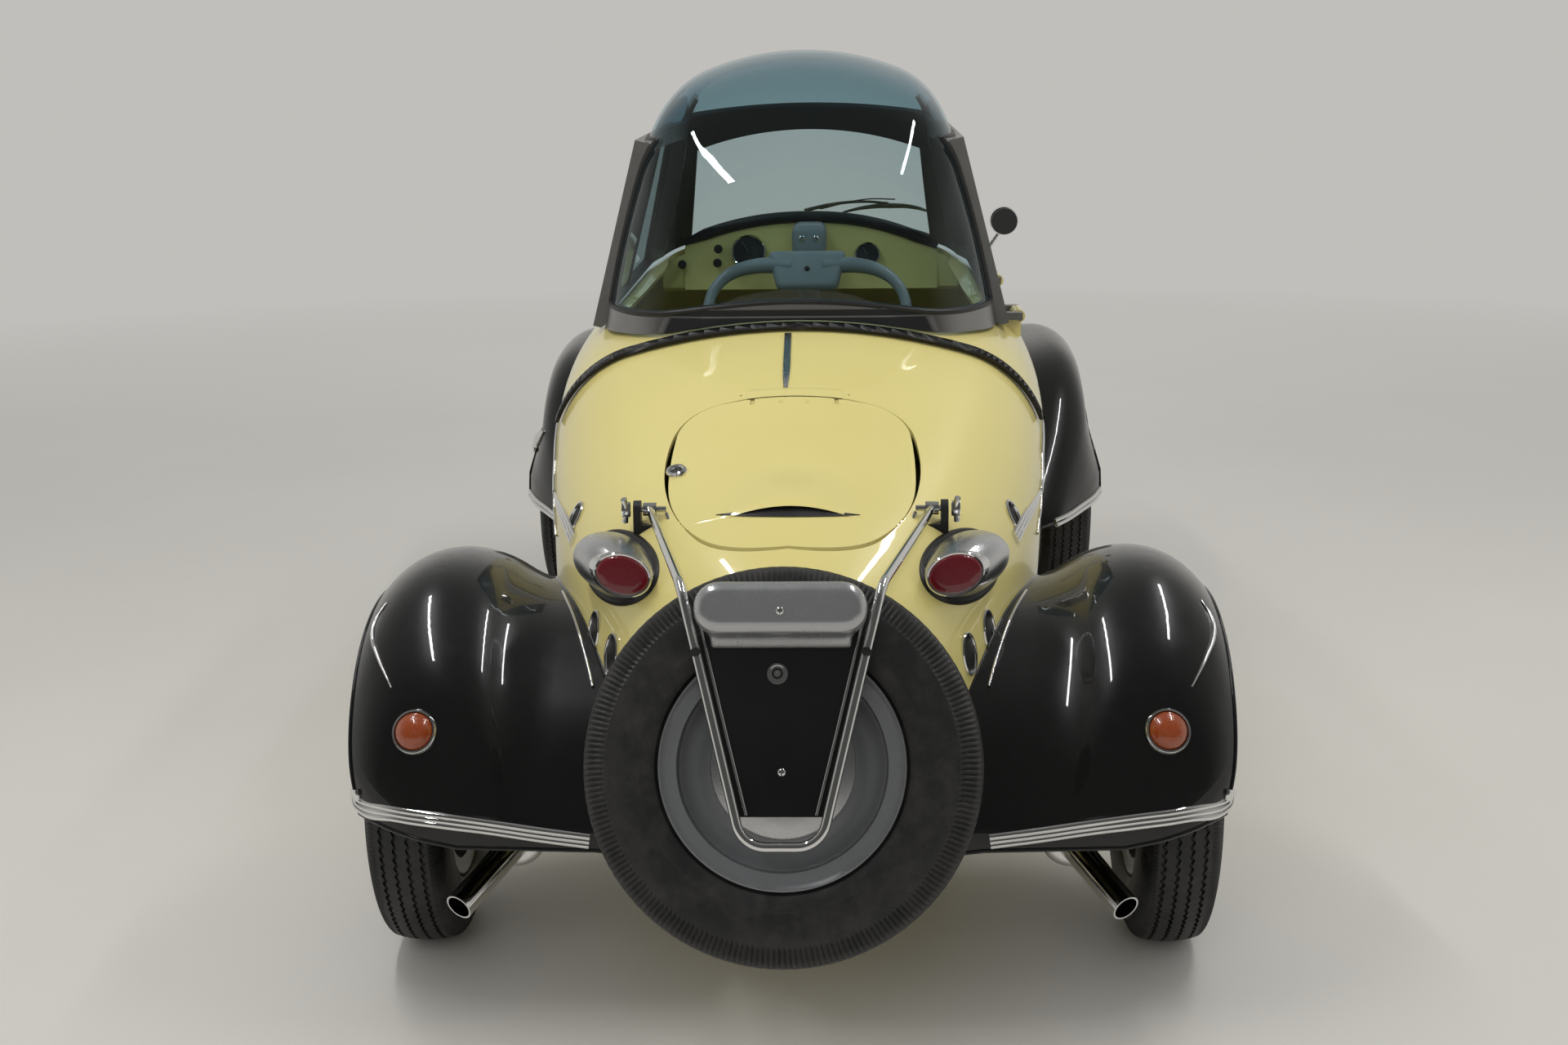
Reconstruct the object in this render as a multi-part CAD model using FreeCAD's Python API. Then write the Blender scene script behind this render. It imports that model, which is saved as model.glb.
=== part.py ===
import FreeCAD, Part
import math
import os

# A small four-wheeled bubble car with two seats in line under a hinged clear canopy.
# Millimetres. +Z is up, the car's nose points to -Y and its left side to +X.
# The origin is on the ground, under the middle of the car's outline.

V = FreeCAD.Vector
X_AXIS = V(1, 0, 0)
Y_AXIS = V(0, 1, 0)
Z_AXIS = V(0, 0, 1)
SIDES = ((1, "left"), (-1, "right"))

# Main places
NOSE_Y = -1478.0
FRONT_AXLE_Y = -1020.0
REAR_AXLE_Y = 870.0
FRONT_TRACK = 1110.0
REAR_TRACK = 1040.0
SEAL_Y = 492.0
TAIL_END_Y = 1212.0

# Clearances
RUNNING_GAP = 6.0
SEAT_GAP = 0.3
SHUT_GAP = 5.5

# Sheet and glass
BODY_WALL = 8.0
FENDER_WALL = 5.0
SEAL_WIDTH = 16.0
SEAL_LOW_Z = 676.0
GLASS_INSET = 4.0
GLASS_WALL = 5.0
CANOPY_WALL = 14.0

# Wheels
TYRE_R = 237.0
TYRE_W = 112.0
RIM_R = 127.0
RIM_SEAT_W = 76.0
FLANGE_R = 145.0
DISC_IN = 8.0
DISC_WALL = 6.0
VENT_RING_R = 76.0
VENT_R = 9.5
SPINDLE_R = 14.0
DRUM_R = 62.0
AXLE_Z = TYRE_R

# Hull sections from nose to tail: place along the car, crown height, shoulder half width and height,
# widest half width and its height, sill half width and floor height
HULL = (
    (-1478, 420, 22, 412, 36, 385, 20, 356),
    (-1462, 482, 70, 462, 112, 390, 62, 300),
    (-1425, 545, 105, 520, 170, 400, 108, 250),
    (-1330, 622, 145, 592, 238, 415, 160, 205),
    (-1180, 706, 175, 675, 290, 445, 200, 178),
    (-980, 790, 205, 758, 332, 485, 235, 165),
    (-740, 862, 240, 826, 364, 530, 262, 158),
    (-450, 872, 268, 832, 381, 570, 282, 155),
    (0, 862, 272, 828, 388, 600, 290, 155),
    (440, 832, 262, 796, 383, 600, 282, 160),
    (700, 752, 236, 712, 354, 560, 250, 175),
    (880, 688, 196, 652, 308, 515, 205, 195),
    (1020, 641, 150, 610, 254, 480, 160, 222),
    (1120, 600, 105, 574, 198, 455, 120, 255),
    (1180, 556, 66, 536, 142, 440, 82, 300),
    (1212, 500, 30, 488, 72, 430, 40, 360),
)

# Canopy sections: place, crown height, brow half width and height, temple half width and height,
# half width at the base
CANOPY_BASE_Z = 740.0
CANOPY = (
    (-740, 1150, 120, 1132, 205, 1050, 322),
    (-560, 1192, 142, 1170, 226, 1085, 328),
    (-380, 1222, 158, 1194, 242, 1090, 331),
    (-170, 1238, 168, 1206, 252, 1092, 332),
    (30, 1236, 172, 1203, 257, 1088, 332),
    (190, 1216, 172, 1184, 260, 1078, 332),
    (300, 1178, 166, 1148, 258, 1052, 328),
    (385, 1112, 150, 1082, 238, 990, 308),
    (442, 1008, 122, 982, 198, 912, 262),
    (470, 895, 84, 880, 140, 842, 190),
)

# Windscreen: the slope of its middle line, a point on it, and its bend
SCREEN_SLOPE = math.radians(48.0)
SCREEN_Y = -712.0
SCREEN_Z = 872.0
SCREEN_R = 470.0
SCREEN_LOW = 24.0
SCREEN_LENGTH = 292.0
SCREEN_BOW = 18.0
SCREEN_HALF_LOW = 250.0
SCREEN_HALF_TOP = 222.0
HEADER_DEPTH = 52.0
WIPER_X = -30.0

# Side windows: a leaning flat panel each side
SIDE_LEAN = math.radians(14.3)
SIDE_BASE_X = 334.0
SIDE_BASE_Z = 800.0
SIDE_TOP = 308.0
SIDE_REAR_Y = 300.0
SIDE_FRONT_Y = -548.0
SIDE_FRONT_TOP_Y = -398.0
SIDE_OUT = 6.0
SIDE_DEEP = 46.0
SIDE_FRAME = 22.0
SIDE_PANE = 4.0
SIDE_SPLIT_Y = -60.0

# Mirror on the canopy's right side
MIRROR_X = -385.0
MIRROR_Y = -470.0
MIRROR_Z = 898.0

# Dome glass
DOME_BAND = 26.0

# Canopy hinge along the car's right side
CANOPY_HINGE_X = -362.0
CANOPY_HINGE_Z = 800.0
CANOPY_HINGE_YS = (-330.0, 180.0)
HINGE_PIN_R = 5.0
HINGE_BARREL_R = 11.0
HINGE_LENGTH = 60.0

# Cabin opening in the tub
OPENING_EDGE = 26.0
BULKHEAD_Y = 430.0
BULKHEAD_TOP = 790.0

# Tail hatch outline in plan: half width and place along the car, from its front edge to its back
HATCH = ((0, 697), (112, 709), (172, 770), (176, 880), (122, 1030), (0, 1082))
HATCH_HINGE_Y = 690.0
HATCH_HINGE_Z = 748.0
HATCH_PIN_R = 3.0
HATCH_BARREL_R = 6.0
HATCH_BARREL_HALF = 15.0
HATCH_ARM_HALF = 24.0
HATCH_ARM_W = 6.0
HATCH_HINGE_XS = (-40.0, 40.0)

# Fender sections: place, root half width, outer half width, crown half width, crown height,
# valley height and lower edge
REAR_FENDER = (
    (574, 190, 452, 400, 318, 302, 225),
    (600, 190, 530, 430, 414, 390, 225),
    (660, 190, 592, 448, 496, 455, 225),
    (760, 190, 624, 460, 543, 490, 225),
    (870, 190, 634, 464, 556, 498, 225),
    (960, 190, 632, 464, 543, 482, 225),
    (1050, 190, 618, 460, 494, 434, 225),
    (1110, 190, 590, 448, 428, 372, 225),
    (1150, 190, 545, 425, 355, 314, 225),
    (1176, 190, 475, 385, 285, 270, 225),
)
FRONT_FENDER = (
    (-1356, 420, 566, 492, 536, 460, 380),
    (-1336, 392, 594, 492, 562, 474, 336),
    (-1285, 345, 618, 504, 582, 496, 282),
    (-1220, 290, 630, 512, 588, 512, 240),
    (-1140, 230, 638, 520, 588, 520, 220),
    (-1020, 200, 642, 524, 582, 516, 215),
    (-890, 190, 640, 524, 558, 492, 215),
    (-780, 190, 632, 512, 500, 445, 215),
    (-690, 190, 598, 490, 420, 380, 215),
    (-610, 190, 545, 455, 335, 310, 215),
    (-556, 190, 480, 410, 270, 256, 215),
)
ARCH_R = 264.0
ARCH_FROM_X = 560.0
FENDER_EDGE_IN_Z = 240.0
FENDER_EDGE_OUT_Z = 282.0

# Spare wheel, leaning against the tail
SPARE_Y = 1355.0
SPARE_Z = 420.0
SPARE_LEAN = 19.5

# Guard frame over the spare wheel
GUARD_R = 6.0
GUARD_STANDOFF = 80.0
GUARD_KNEE_X = 117.0
GUARD_KNEE_UP = 209.0
GUARD_LOW_X = 56.0
GUARD_LOW_UP = -45.0
GUARD_HINGE_X = 190.0
GUARD_HINGE_Y = 952.0
GUARD_HINGE_Z = 641.0
GUARD_PIN_R = 4.0
GUARD_BRACKET_HALF = 22.0
GUARD_BRACKET_DEEP = 12.0
GUARD_BARREL_R = 12.0
PLATE_TOP_X = 96.0
PLATE_TOP_UP = 150.0
PLATE_LOW_X = 56.0
PLATE_LOW_UP = -58.0
LAMP_COVER_X = 100.0
LAMP_COVER_HALF = 31.0
LAMP_COVER_DEEP = 46.0
LAMP_COVER_UP = 180.0

# Lamps
HEADLAMP_R = 78.0
HEADLAMP_X = 488.0
HEADLAMP_Y = -1352.0
HEADLAMP_Z = 458.0
TAIL_LAMP_BASE = (231.0, 985.0, 570.0)
TAIL_LAMP_FACING = (0.682, 0.443, 0.582)
TAIL_LAMP_RUN = (0.500, -0.863, 0.070)
TAIL_LAMP_SIZE = (93.0, 42.0)
TAIL_LAMP_ROOT = 30.0
TAIL_LENS_AT = (215.5, 1078.0, 582.0)
TAIL_LENS_FACING = (0.101, 0.980, 0.172)
TAIL_LENS_RUN = (0.966, 0.0, 0.259)
TAIL_LENS_SIZE = (34.0, 27.5)
TAIL_LENS_DEPTH = 9.0
TURN_LAMP_X = 486.0
TURN_LAMP_Z = 382.0
TURN_LAMP_Y = 1124.0
TURN_LAMP_R = 28.0

# Steering
COLUMN_TOP = V(0, -268, 838)
COLUMN_LEAN = math.radians(24.0)
YOKE_TUBE_R = 13.0
COLUMN_R = 20.0
COLUMN_LENGTH = 620.0
SHAFT_R = 9.0
KING_PIN_X = 485.0
KING_PIN_R = 12.0

# Seats
FLOOR_TOP = 164.0
SEAT_RAIL_Z = 250.0
SEAT_BACK_TOP = 560.0
SEAT_BEND_Y = 74.4
SEAT_LEAN = 14.0
SEAT_TUBE_R = 11.0

# Exhaust
EXHAUST_X = 437.0
EXHAUST_Z = 150.0
EXHAUST_END_Y = 1150.0
EXHAUST_R = 19.0
SILENCER_R = 42.0
SILENCER_X = 376.0
SILENCER_Z = 206.0

# Vents in the tail: place, facing, half height and half width
VENTS = (
    (264.7, 997.0, 482.7, 0.891, 0.428, 0.153, 26.0, 16.0),
    (235.4, 1058.6, 468.4, 0.860, 0.483, 0.162, 26.0, 16.0),
    (312.2, 800.0, 594.2, 0.814, 0.357, 0.459, 22.0, 14.0),
)



def box(x0, x1, y0, y1, z0, z1):
    return Part.makeBox(x1 - x0, y1 - y0, z1 - z0, V(x0, y0, z0))


def rod(start, end, radius):
    """A round bar between two points."""
    path = end.sub(start)
    return Part.makeCylinder(radius, path.Length, start, path)


def chain(points, tangent):
    """Arcs through flat points, each tangent to the one before, as (start, middle, end) triples."""
    arcs = []
    for start, end in zip(points, points[1:]):
        run = (end[0] - start[0], end[1] - start[1])
        length = math.hypot(*run)
        turn = tangent - math.atan2(run[1], run[0])
        turn = math.atan2(math.sin(turn), math.cos(turn))
        rise = 0.5 * length * math.tan(0.5 * turn)
        left = (-run[1] / length, run[0] / length)
        middle = (start[0] + 0.5 * run[0] + left[0] * rise, start[1] + 0.5 * run[1] + left[1] * rise)
        arcs.append((start, middle, end))
        tangent = tangent - 2.0 * turn
    return arcs


def arc_edges(arcs, place):
    """Edges of flat arcs put into space by the function place."""
    edges = []
    for start, middle, end in arcs:
        edges.append(Part.Arc(place(start), place(middle), place(end)).toShape())
    return edges


def mirrored(arcs):
    """The same arcs on the other side of the middle line, in running order."""
    return [((-e[0], e[1]), (-m[0], m[1]), (-s[0], s[1])) for s, m, e in reversed(arcs)]


def arch_wire(y, points):
    """A closed section across the car: arcs from the crown down each side and a straight base."""
    right = chain(points, 0.0)
    place = lambda p: V(p[0], y, p[1])
    edges = arc_edges(mirrored(right), place) + arc_edges(right, place)
    low = points[-1]
    edges.append(Part.makeLine(V(low[0], y, low[1]), V(-low[0], y, low[1])))
    return Part.Wire(edges)


def hull(inset):
    """The outside form of tub and tail, drawn in by the inset."""
    wires = []
    for row, (y, crown, sx, sz, wx, wz, bx, bz) in enumerate(HULL):
        end = inset if row == 0 else (-inset if row == len(HULL) - 1 else 0.0)
        t = inset
        points = ((0, crown - t), (sx - 0.3 * t, sz - t), (wx - t, wz), (bx - t, bz + t))
        wires.append(arch_wire(y + end, points))
    return Part.makeLoft(wires, True, False)


def bubble(inset):
    """The outside form of the canopy, drawn in by the inset, with the windscreen's bend at its front."""
    wires = []
    for row, (y, crown, bx, bz, tx, tz, wx) in enumerate(CANOPY):
        end = -inset if row == len(CANOPY) - 1 else 0.0
        t = inset
        points = ((0, crown - t), (bx - 0.4 * t, bz - 0.9 * t), (tx - 0.8 * t, tz - 0.5 * t),
                  (wx - t, CANOPY_BASE_Z))
        wires.append(arch_wire(y + end, points))
    form = Part.makeLoft(wires, True, False)
    return form.common(screen_round(inset))


def screen_point(along, out=0.0):
    """A point in the car's middle plane, along the windscreen's slope and out from it."""
    c, s = math.cos(SCREEN_SLOPE), math.sin(SCREEN_SLOPE)
    return V(0, SCREEN_Y + along * c - out * s, SCREEN_Z + along * s + out * c)


def screen_round(inset):
    """A long round bar whose front face is the windscreen."""
    centre = screen_point(-900.0, -SCREEN_R)
    axis = V(0, math.cos(SCREEN_SLOPE), math.sin(SCREEN_SLOPE))
    bar = Part.makeCylinder(SCREEN_R - inset, 2400, centre, axis)
    lean = FreeCAD.Placement(V(0, SCREEN_Y + 420, SCREEN_Z),
                             FreeCAD.Rotation(X_AXIS, math.degrees(SCREEN_SLOPE) - 90.0))
    back = Part.makeBox(1400, 2600, 3000, V(-700, 0, -1500))
    back.Placement = lean
    return bar.fuse(back)


def flat_prism(points, place, direction):
    """A prism on a polygon of flat points."""
    corners = [place(p) for p in points]
    return Part.Face(Part.makePolygon(corners + corners[:1])).extrude(direction)


def screen_prism(edge):
    """The windscreen's opening, made smaller by the edge, running out through the front."""
    low = SCREEN_LOW + edge
    top = SCREEN_LENGTH - edge
    half_low = SCREEN_HALF_LOW - edge
    half_top = SCREEN_HALF_TOP - edge
    c, s = math.cos(SCREEN_SLOPE), math.sin(SCREEN_SLOPE)
    place = lambda x, along: screen_point(along, 60.0).add(V(x, 0, 0))
    foot = low + SCREEN_BOW
    edges = [
        Part.Arc(place(-half_low, foot), place(0, low), place(half_low, foot)).toShape(),
        Part.makeLine(place(half_low, foot), place(half_top, top)),
        Part.makeLine(place(half_top, top), place(-half_top, top)),
        Part.makeLine(place(-half_top, top), place(-half_low, foot)),
    ]
    return Part.Face(Part.Wire(edges)).extrude(V(0, s, -c).multiply(210.0))


def side_place(side, out):
    """Puts flat points (place along the car, height up the leaning panel) on a side window's plane."""
    c, s = math.cos(SIDE_LEAN), math.sin(SIDE_LEAN)
    return lambda p: V(side * (SIDE_BASE_X - p[1] * s + out * c), p[0], SIDE_BASE_Z + p[1] * c + out * s)


def side_outline(edge):
    """A side window's outline, drawn in by the edge."""
    return ((SIDE_FRONT_Y + 1.6 * edge, edge), (SIDE_REAR_Y - edge, edge),
            (SIDE_REAR_Y - edge - 8.0, SIDE_TOP - edge), (SIDE_FRONT_TOP_Y + 0.9 * edge, SIDE_TOP - edge))


def side_slab(side, edge, out, thick):
    """A flat leaning slab on a side window's outline."""
    c, s = math.cos(SIDE_LEAN), math.sin(SIDE_LEAN)
    direction = V(-side * c, 0, -s).multiply(thick)
    return flat_prism(side_outline(edge), side_place(side, out), direction)


def hatch_wire(edge, z):
    """The hatch outline at a height, drawn in by the edge."""
    first, last = HATCH[0], HATCH[-1]
    points = [(0, first[1] + edge)] + [(x - edge, y) for x, y in HATCH[1:-1]] + [(0, last[1] - edge)]
    right = chain(points, 0.0)
    place = lambda p: V(p[0], p[1], z)
    edges = arc_edges(right, place) + arc_edges([((-e[0], e[1]), (-m[0], m[1]), (-s[0], s[1]))
                                                for s, m, e in reversed(right)], place)
    return Part.Wire(edges)


def hatch_prism(edge):
    return Part.Face(hatch_wire(edge, 540.0)).extrude(V(0, 0, 260))


def fender_wire(y, x_root, x_out, x_top, z_top, z_valley, z_low, t):
    """A section across a fender, from its root inside the body over its crown to its outer wall."""
    k = (z_top - 200.0) / 356.0
    pod = (x_root - 190.0) / 230.0
    start_x = max(x_root + t + 8.0, min(330.0, x_top - 60.0))
    flank = (start_x + (0.5 - 0.22 * pod) * (x_top - start_x),
             z_valley + (0.5 + 0.22 * pod) * (z_top - z_valley) - t)
    place = lambda p: V(p[0], y, p[1])
    points = ((start_x, z_valley - t), flank,
              (x_top, z_top - t), (x_out - 50.0 * k - 0.7 * t, z_top - 68.0 * k - 0.7 * t),
              (x_out - 12.0 * k - t, max(z_top - 196.0 * k, z_low + 12.0)))
    low = z_low - (60.0 if t > 0 else 0.0)
    edges = [Part.makeLine(V(x_root + t, y, low), V(x_root + t, y, z_valley - t)),
             Part.makeLine(V(x_root + t, y, z_valley - t), place(points[0]))]
    edges += arc_edges(chain(points, 0.12 + 1.25 * pod), place)
    edges.append(Part.makeLine(place(points[-1]), V(x_out - t, y, low)))
    edges.append(Part.makeLine(V(x_out - t, y, low), V(x_root + t, y, low)))
    return Part.Wire(edges)


def fender_form(rows, inset):
    """A fender's outside form, drawn in by the inset, and open below where it is drawn in."""
    wires = []
    for place, row in enumerate(rows):
        end = inset if place == 0 else (-inset if place == len(rows) - 1 else 0.0)
        wires.append(fender_wire(row[0] + end, *row[1:], inset))
    return Part.makeLoft(wires, True, False)


def fender(outer, inner, axle_y):
    """The left fender: a thin shell, open below and at the wheel arch, cut to the body's side."""
    shell = outer.cut(inner)
    arch = Part.makeCylinder(ARCH_R, 200, V(ARCH_FROM_X, axle_y, AXLE_Z), X_AXIS)
    under = flat_prism(((0, FENDER_EDGE_IN_Z - 30), (250, FENDER_EDGE_IN_Z), (430, FENDER_EDGE_IN_Z + 4),
                        (600, FENDER_EDGE_OUT_Z), (720, FENDER_EDGE_OUT_Z + 20), (720, 0), (0, 0)),
                       lambda p: V(p[0], axle_y - 500, p[1]), V(0, 1000, 0))
    return largest(shell.cut(arch).cut(under).cut(HULL_SEAT))


def largest(shape):
    return max(shape.Solids, key=lambda s: s.Volume)


def revolve_profile(points):
    """A body of revolution about X from (place along X, radius) points, joined by straight lines."""
    corners = [V(x, 0, r) for x, r in points]
    face = Part.Face(Part.makePolygon(corners + corners[:1]))
    return face.revolve(V(0, 0, 0), X_AXIS, 360)


def tyre():
    """A tyre about the X axis at the origin, its section straight runs from bead over tread to bead."""
    half = TYRE_W / 2
    bead = RIM_SEAT_W / 2 - SEAT_GAP
    seat = RIM_R + SEAT_GAP
    side = ((bead, seat), (bead, FLANGE_R - 3), (half - 7, FLANGE_R + 7), (half, 190), (half - 5, TYRE_R - 17),
            (half - 17, TYRE_R))
    return revolve_profile(side + tuple((-x, r) for x, r in reversed(side)))


def rim():
    """A pressed steel wheel about the X axis at the origin, its outside towards +X."""
    seat = RIM_SEAT_W / 2
    wall = 4.0
    out = DISC_IN + DISC_WALL
    bore = SPINDLE_R + SEAT_GAP
    points = (
        (-seat - 8, FLANGE_R), (-seat - 2, FLANGE_R - 2.5), (-seat, FLANGE_R - 8), (-seat, RIM_R), (-20, RIM_R),
        (-14, 106), (6, 106), (12, RIM_R), (seat, RIM_R), (seat, FLANGE_R - 8), (seat + 2, FLANGE_R - 2.5),
        (seat + 8, FLANGE_R), (seat + 8, FLANGE_R - wall), (seat + wall, FLANGE_R - 10),
        (seat + wall, RIM_R - wall), (15, RIM_R - wall), (9, 102), (12, 94), (out, 88), (out, bore),
        (DISC_IN, bore), (DISC_IN, 84), (4, 92), (-2, 100), (-17, 102), (-23, RIM_R - wall),
        (-seat - wall, RIM_R - wall), (-seat - wall, FLANGE_R - 10), (-seat - 8, FLANGE_R - wall),
    )
    body = revolve_profile(points)
    for place in range(6):
        angle = math.radians(60 * place + 30)
        at = V(-20, VENT_RING_R * math.sin(angle), VENT_RING_R * math.cos(angle))
        body = body.cut(Part.makeCylinder(VENT_R, 80, at, X_AXIS))
    return body


def wheel_place(shape, side, y, track):
    placed = shape if side > 0 else shape.mirror(V(0, 0, 0), X_AXIS)
    return placed.translated(V(side * track / 2, y, AXLE_Z))


def spare_place(shape):
    """Turns a wheel about X so that its outside faces back and up, and sets it on the tail."""
    turned = shape.rotated(V(0, 0, 0), Z_AXIS, 90)
    leaned = turned.rotated(V(0, 0, 0), X_AXIS, SPARE_LEAN)
    return leaned.translated(V(0, SPARE_Y, SPARE_Z))


def spare_point(x, up, out):
    """A point in the spare wheel's own frame: across, up its disc and out from it."""
    c, s = math.cos(math.radians(SPARE_LEAN)), math.sin(math.radians(SPARE_LEAN))
    return V(x, SPARE_Y - up * s + out * c, SPARE_Z + up * c + out * s)


def bent_tube(points, radius, bend):
    """A round tube along straight runs joined by tangent arcs."""
    edges = []
    start = points[0]
    for before, corner, after in zip(points, points[1:], points[2:]):
        a = before.sub(corner).normalize()
        b = after.sub(corner).normalize()
        half = 0.5 * math.acos(max(-1.0, min(1.0, a.dot(b))))
        reach = bend / math.tan(half)
        first = corner.add(V(a).multiply(reach))
        last = corner.add(V(b).multiply(reach))
        inward = a.add(b).normalize()
        middle = corner.add(V(inward).multiply(bend / math.sin(half) - bend))
        edges.append(Part.makeLine(start, first))
        edges.append(Part.Arc(first, middle, last).toShape())
        start = last
    edges.append(Part.makeLine(start, points[-1]))
    path = Part.Wire(edges)
    profile = Part.Wire([Part.Circle(points[0], points[1].sub(points[0]), radius).toShape()])
    return path.makePipeShell([profile], True, False)


def mirror(shape):
    return shape.mirror(V(0, 0, 0), X_AXIS)


def both(shape):
    """The shape and its mirror image as one node of two solids."""
    return Part.makeCompound(shape.Solids + mirror(shape).Solids)


def sided(shape, side):
    return shape if side > 0 else mirror(shape)


HULL_OUT = hull(0.0)
HULL_IN = hull(BODY_WALL)
HULL_SEAT = hull(-SEAT_GAP)
HULL_CLEAR = hull(-RUNNING_GAP)
HULL_BAND = hull(-RUNNING_GAP - DOME_BAND)
HULL_ROOM = hull(BODY_WALL + SEAT_GAP)
SHELL = HULL_OUT.cut(HULL_IN)
FAR = 1600.0


def tub():
    """The main body from the nose to the seal, hollow, with the cabin opening and a bulkhead."""
    part = SHELL.cut(box(-FAR, FAR, SEAL_Y, FAR, 0, FAR))
    part = part.cut(bubble(OPENING_EDGE))
    bulkhead = HULL_IN.common(box(-FAR, FAR, BULKHEAD_Y, BULKHEAD_Y + BODY_WALL, 0, BULKHEAD_TOP))
    part = part.fuse(bulkhead)
    for y in CANOPY_HINGE_YS:
        leaf = box(CANOPY_HINGE_X - 4, -SIDE_BASE_X + 26, y - HINGE_LENGTH / 2, y + HINGE_LENGTH / 2,
                   CANOPY_HINGE_Z - 34, CANOPY_HINGE_Z - 7)
        barrel = rod(V(CANOPY_HINGE_X, y - HINGE_LENGTH / 2, CANOPY_HINGE_Z),
                     V(CANOPY_HINGE_X, y + HINGE_LENGTH / 2, CANOPY_HINGE_Z), HINGE_BARREL_R)
        bore = rod(V(CANOPY_HINGE_X, y - HINGE_LENGTH, CANOPY_HINGE_Z),
                   V(CANOPY_HINGE_X, y + HINGE_LENGTH, CANOPY_HINGE_Z), HINGE_PIN_R + SEAT_GAP)
        part = part.fuse(leaf.cut(HULL_IN).fuse(barrel).cut(bore))
    return largest(part)


def tail_cover():
    """The tail behind the seal, hollow, with its vents, the hatch opening and the hatch's hinge barrels."""
    part = SHELL.common(box(-FAR, FAR, SEAL_Y, FAR, 0, FAR)).cut(hatch_prism(0.0))
    y, z = HATCH_HINGE_Y, HATCH_HINGE_Z
    for x in HATCH_HINGE_XS:
        barrel = rod(V(x - HATCH_BARREL_HALF, y, z), V(x + HATCH_BARREL_HALF, y, z), HATCH_BARREL_R)
        bore = rod(V(x - 40, y, z), V(x + 40, y, z), HATCH_PIN_R + SEAT_GAP)
        part = part.fuse(barrel).cut(bore)
        for side, _ in SIDES:
            start, end = sorted((x + side * HATCH_BARREL_HALF, x + side * (HATCH_ARM_HALF + RUNNING_GAP)))
            part = part.cut(box(start, end, y - HATCH_BARREL_R - RUNNING_GAP, y + 40, z - 30, z + 30))
    for row in VENTS:
        hole = vent(row)
        part = part.cut(hole).cut(mirror(hole))
    return largest(part)


def vent(row):
    """An oval prism through the tail's skin: its place, facing, half height and half width."""
    x, y, z, nx, ny, nz, tall, wide = row
    facing = V(nx, ny, nz).normalize()
    across = Z_AXIS.cross(facing).normalize()
    oval = Part.Face(Part.Wire([Part.Ellipse(V(0, 0, 0), tall, wide).toShape()]))
    prism = oval.extrude(V(0, 0, 5 * BODY_WALL)).translated(V(0, 0, -3 * BODY_WALL))
    turn = FreeCAD.Rotation(facing.cross(across).negative(), across, facing, "ZXY")
    prism.Placement = FreeCAD.Placement(V(x, y, z), turn).multiply(prism.Placement)
    return prism


def tail_hatch():
    """The lid in the tail, with its hinge pins and the arms that carry them."""
    lid = SHELL.common(hatch_prism(SHUT_GAP))
    y, z = HATCH_HINGE_Y, HATCH_HINGE_Z
    for x in HATCH_HINGE_XS:
        lid = lid.fuse(rod(V(x - HATCH_ARM_HALF, y, z), V(x + HATCH_ARM_HALF, y, z), HATCH_PIN_R))
        for arm in (x - HATCH_ARM_HALF, x + HATCH_ARM_HALF - HATCH_ARM_W):
            lid = lid.fuse(box(arm, arm + HATCH_ARM_W, y - 4, y + 30, z - 12, z + 1))
    return largest(lid)


def body_seal():
    """The thick rubber bead over the joint between tub and tail."""
    ring = HULL_CLEAR.cut(HULL_SEAT)
    return ring.common(box(-FAR, FAR, SEAL_Y - SEAL_WIDTH / 2, SEAL_Y + SEAL_WIDTH / 2, SEAL_LOW_Z, FAR))


def side_zone(side):
    return side_slab(side, 0.0, 60.0, 160.0)


def dome_zone(gap):
    """The part of the canopy that is clear dome: over and behind the windscreen's header and windows."""
    head_y = screen_point(SCREEN_LENGTH + HEADER_DEPTH, 0).y + gap
    head_z = screen_point(SCREEN_LENGTH + HEADER_DEPTH, 0).z
    rise = math.tan(SCREEN_SLOPE)
    eaves = side_place(1, 0.0)((0, SIDE_TOP)).z + gap
    points = ((head_y - 300, head_z + 300 / rise), (head_y, head_z), (head_y + 120, eaves),
              (SIDE_REAR_Y + gap, eaves), (SIDE_REAR_Y + gap, CANOPY_BASE_Z - 40),
              (FAR, CANOPY_BASE_Z - 40), (FAR, FAR), (head_y - 300, FAR))
    prism = flat_prism(points, lambda p: V(-FAR, p[0], p[1]), V(2 * FAR, 0, 0))
    return prism.cut(HULL_BAND)


def canopy_frame():
    """The canopy's metal frame: base band, screen pillars, header and the two side window frames."""
    shell = bubble(0.0).cut(bubble(CANOPY_WALL)).cut(HULL_CLEAR)
    frame = shell.cut(screen_prism(0.0)).cut(dome_zone(0.0))
    for side, _ in SIDES:
        frame = frame.cut(side_zone(side))
    frame = Part.makeCompound(frame.Solids)
    parts = frame.Solids
    for side, _ in SIDES:
        rim_slab = side_slab(side, 0.0, SIDE_OUT, SIDE_DEEP).cut(side_slab(side, SIDE_FRAME, 80.0, 200.0))
        parts.append(rim_slab.cut(HULL_CLEAR).cut(bubble(CANOPY_WALL)))
    for y in CANOPY_HINGE_YS:
        half = HINGE_LENGTH / 2
        parts.append(rod(V(CANOPY_HINGE_X, y - half - 26, CANOPY_HINGE_Z),
                         V(CANOPY_HINGE_X, y + half + 26, CANOPY_HINGE_Z), HINGE_PIN_R))
        for low, high in ((y - half - 26, y - half - 6), (y + half + 6, y + half + 26)):
            leaf = box(CANOPY_HINGE_X - 5, -SIDE_BASE_X + 2, low, high, CANOPY_HINGE_Z - 3, CANOPY_HINGE_Z + 9)
            parts.append(leaf.cut(HULL_CLEAR))
    whole = parts[0].multiFuse(parts[1:])
    return largest(whole)


def pane_shell():
    return bubble(GLASS_INSET).cut(bubble(GLASS_INSET + GLASS_WALL))


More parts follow.
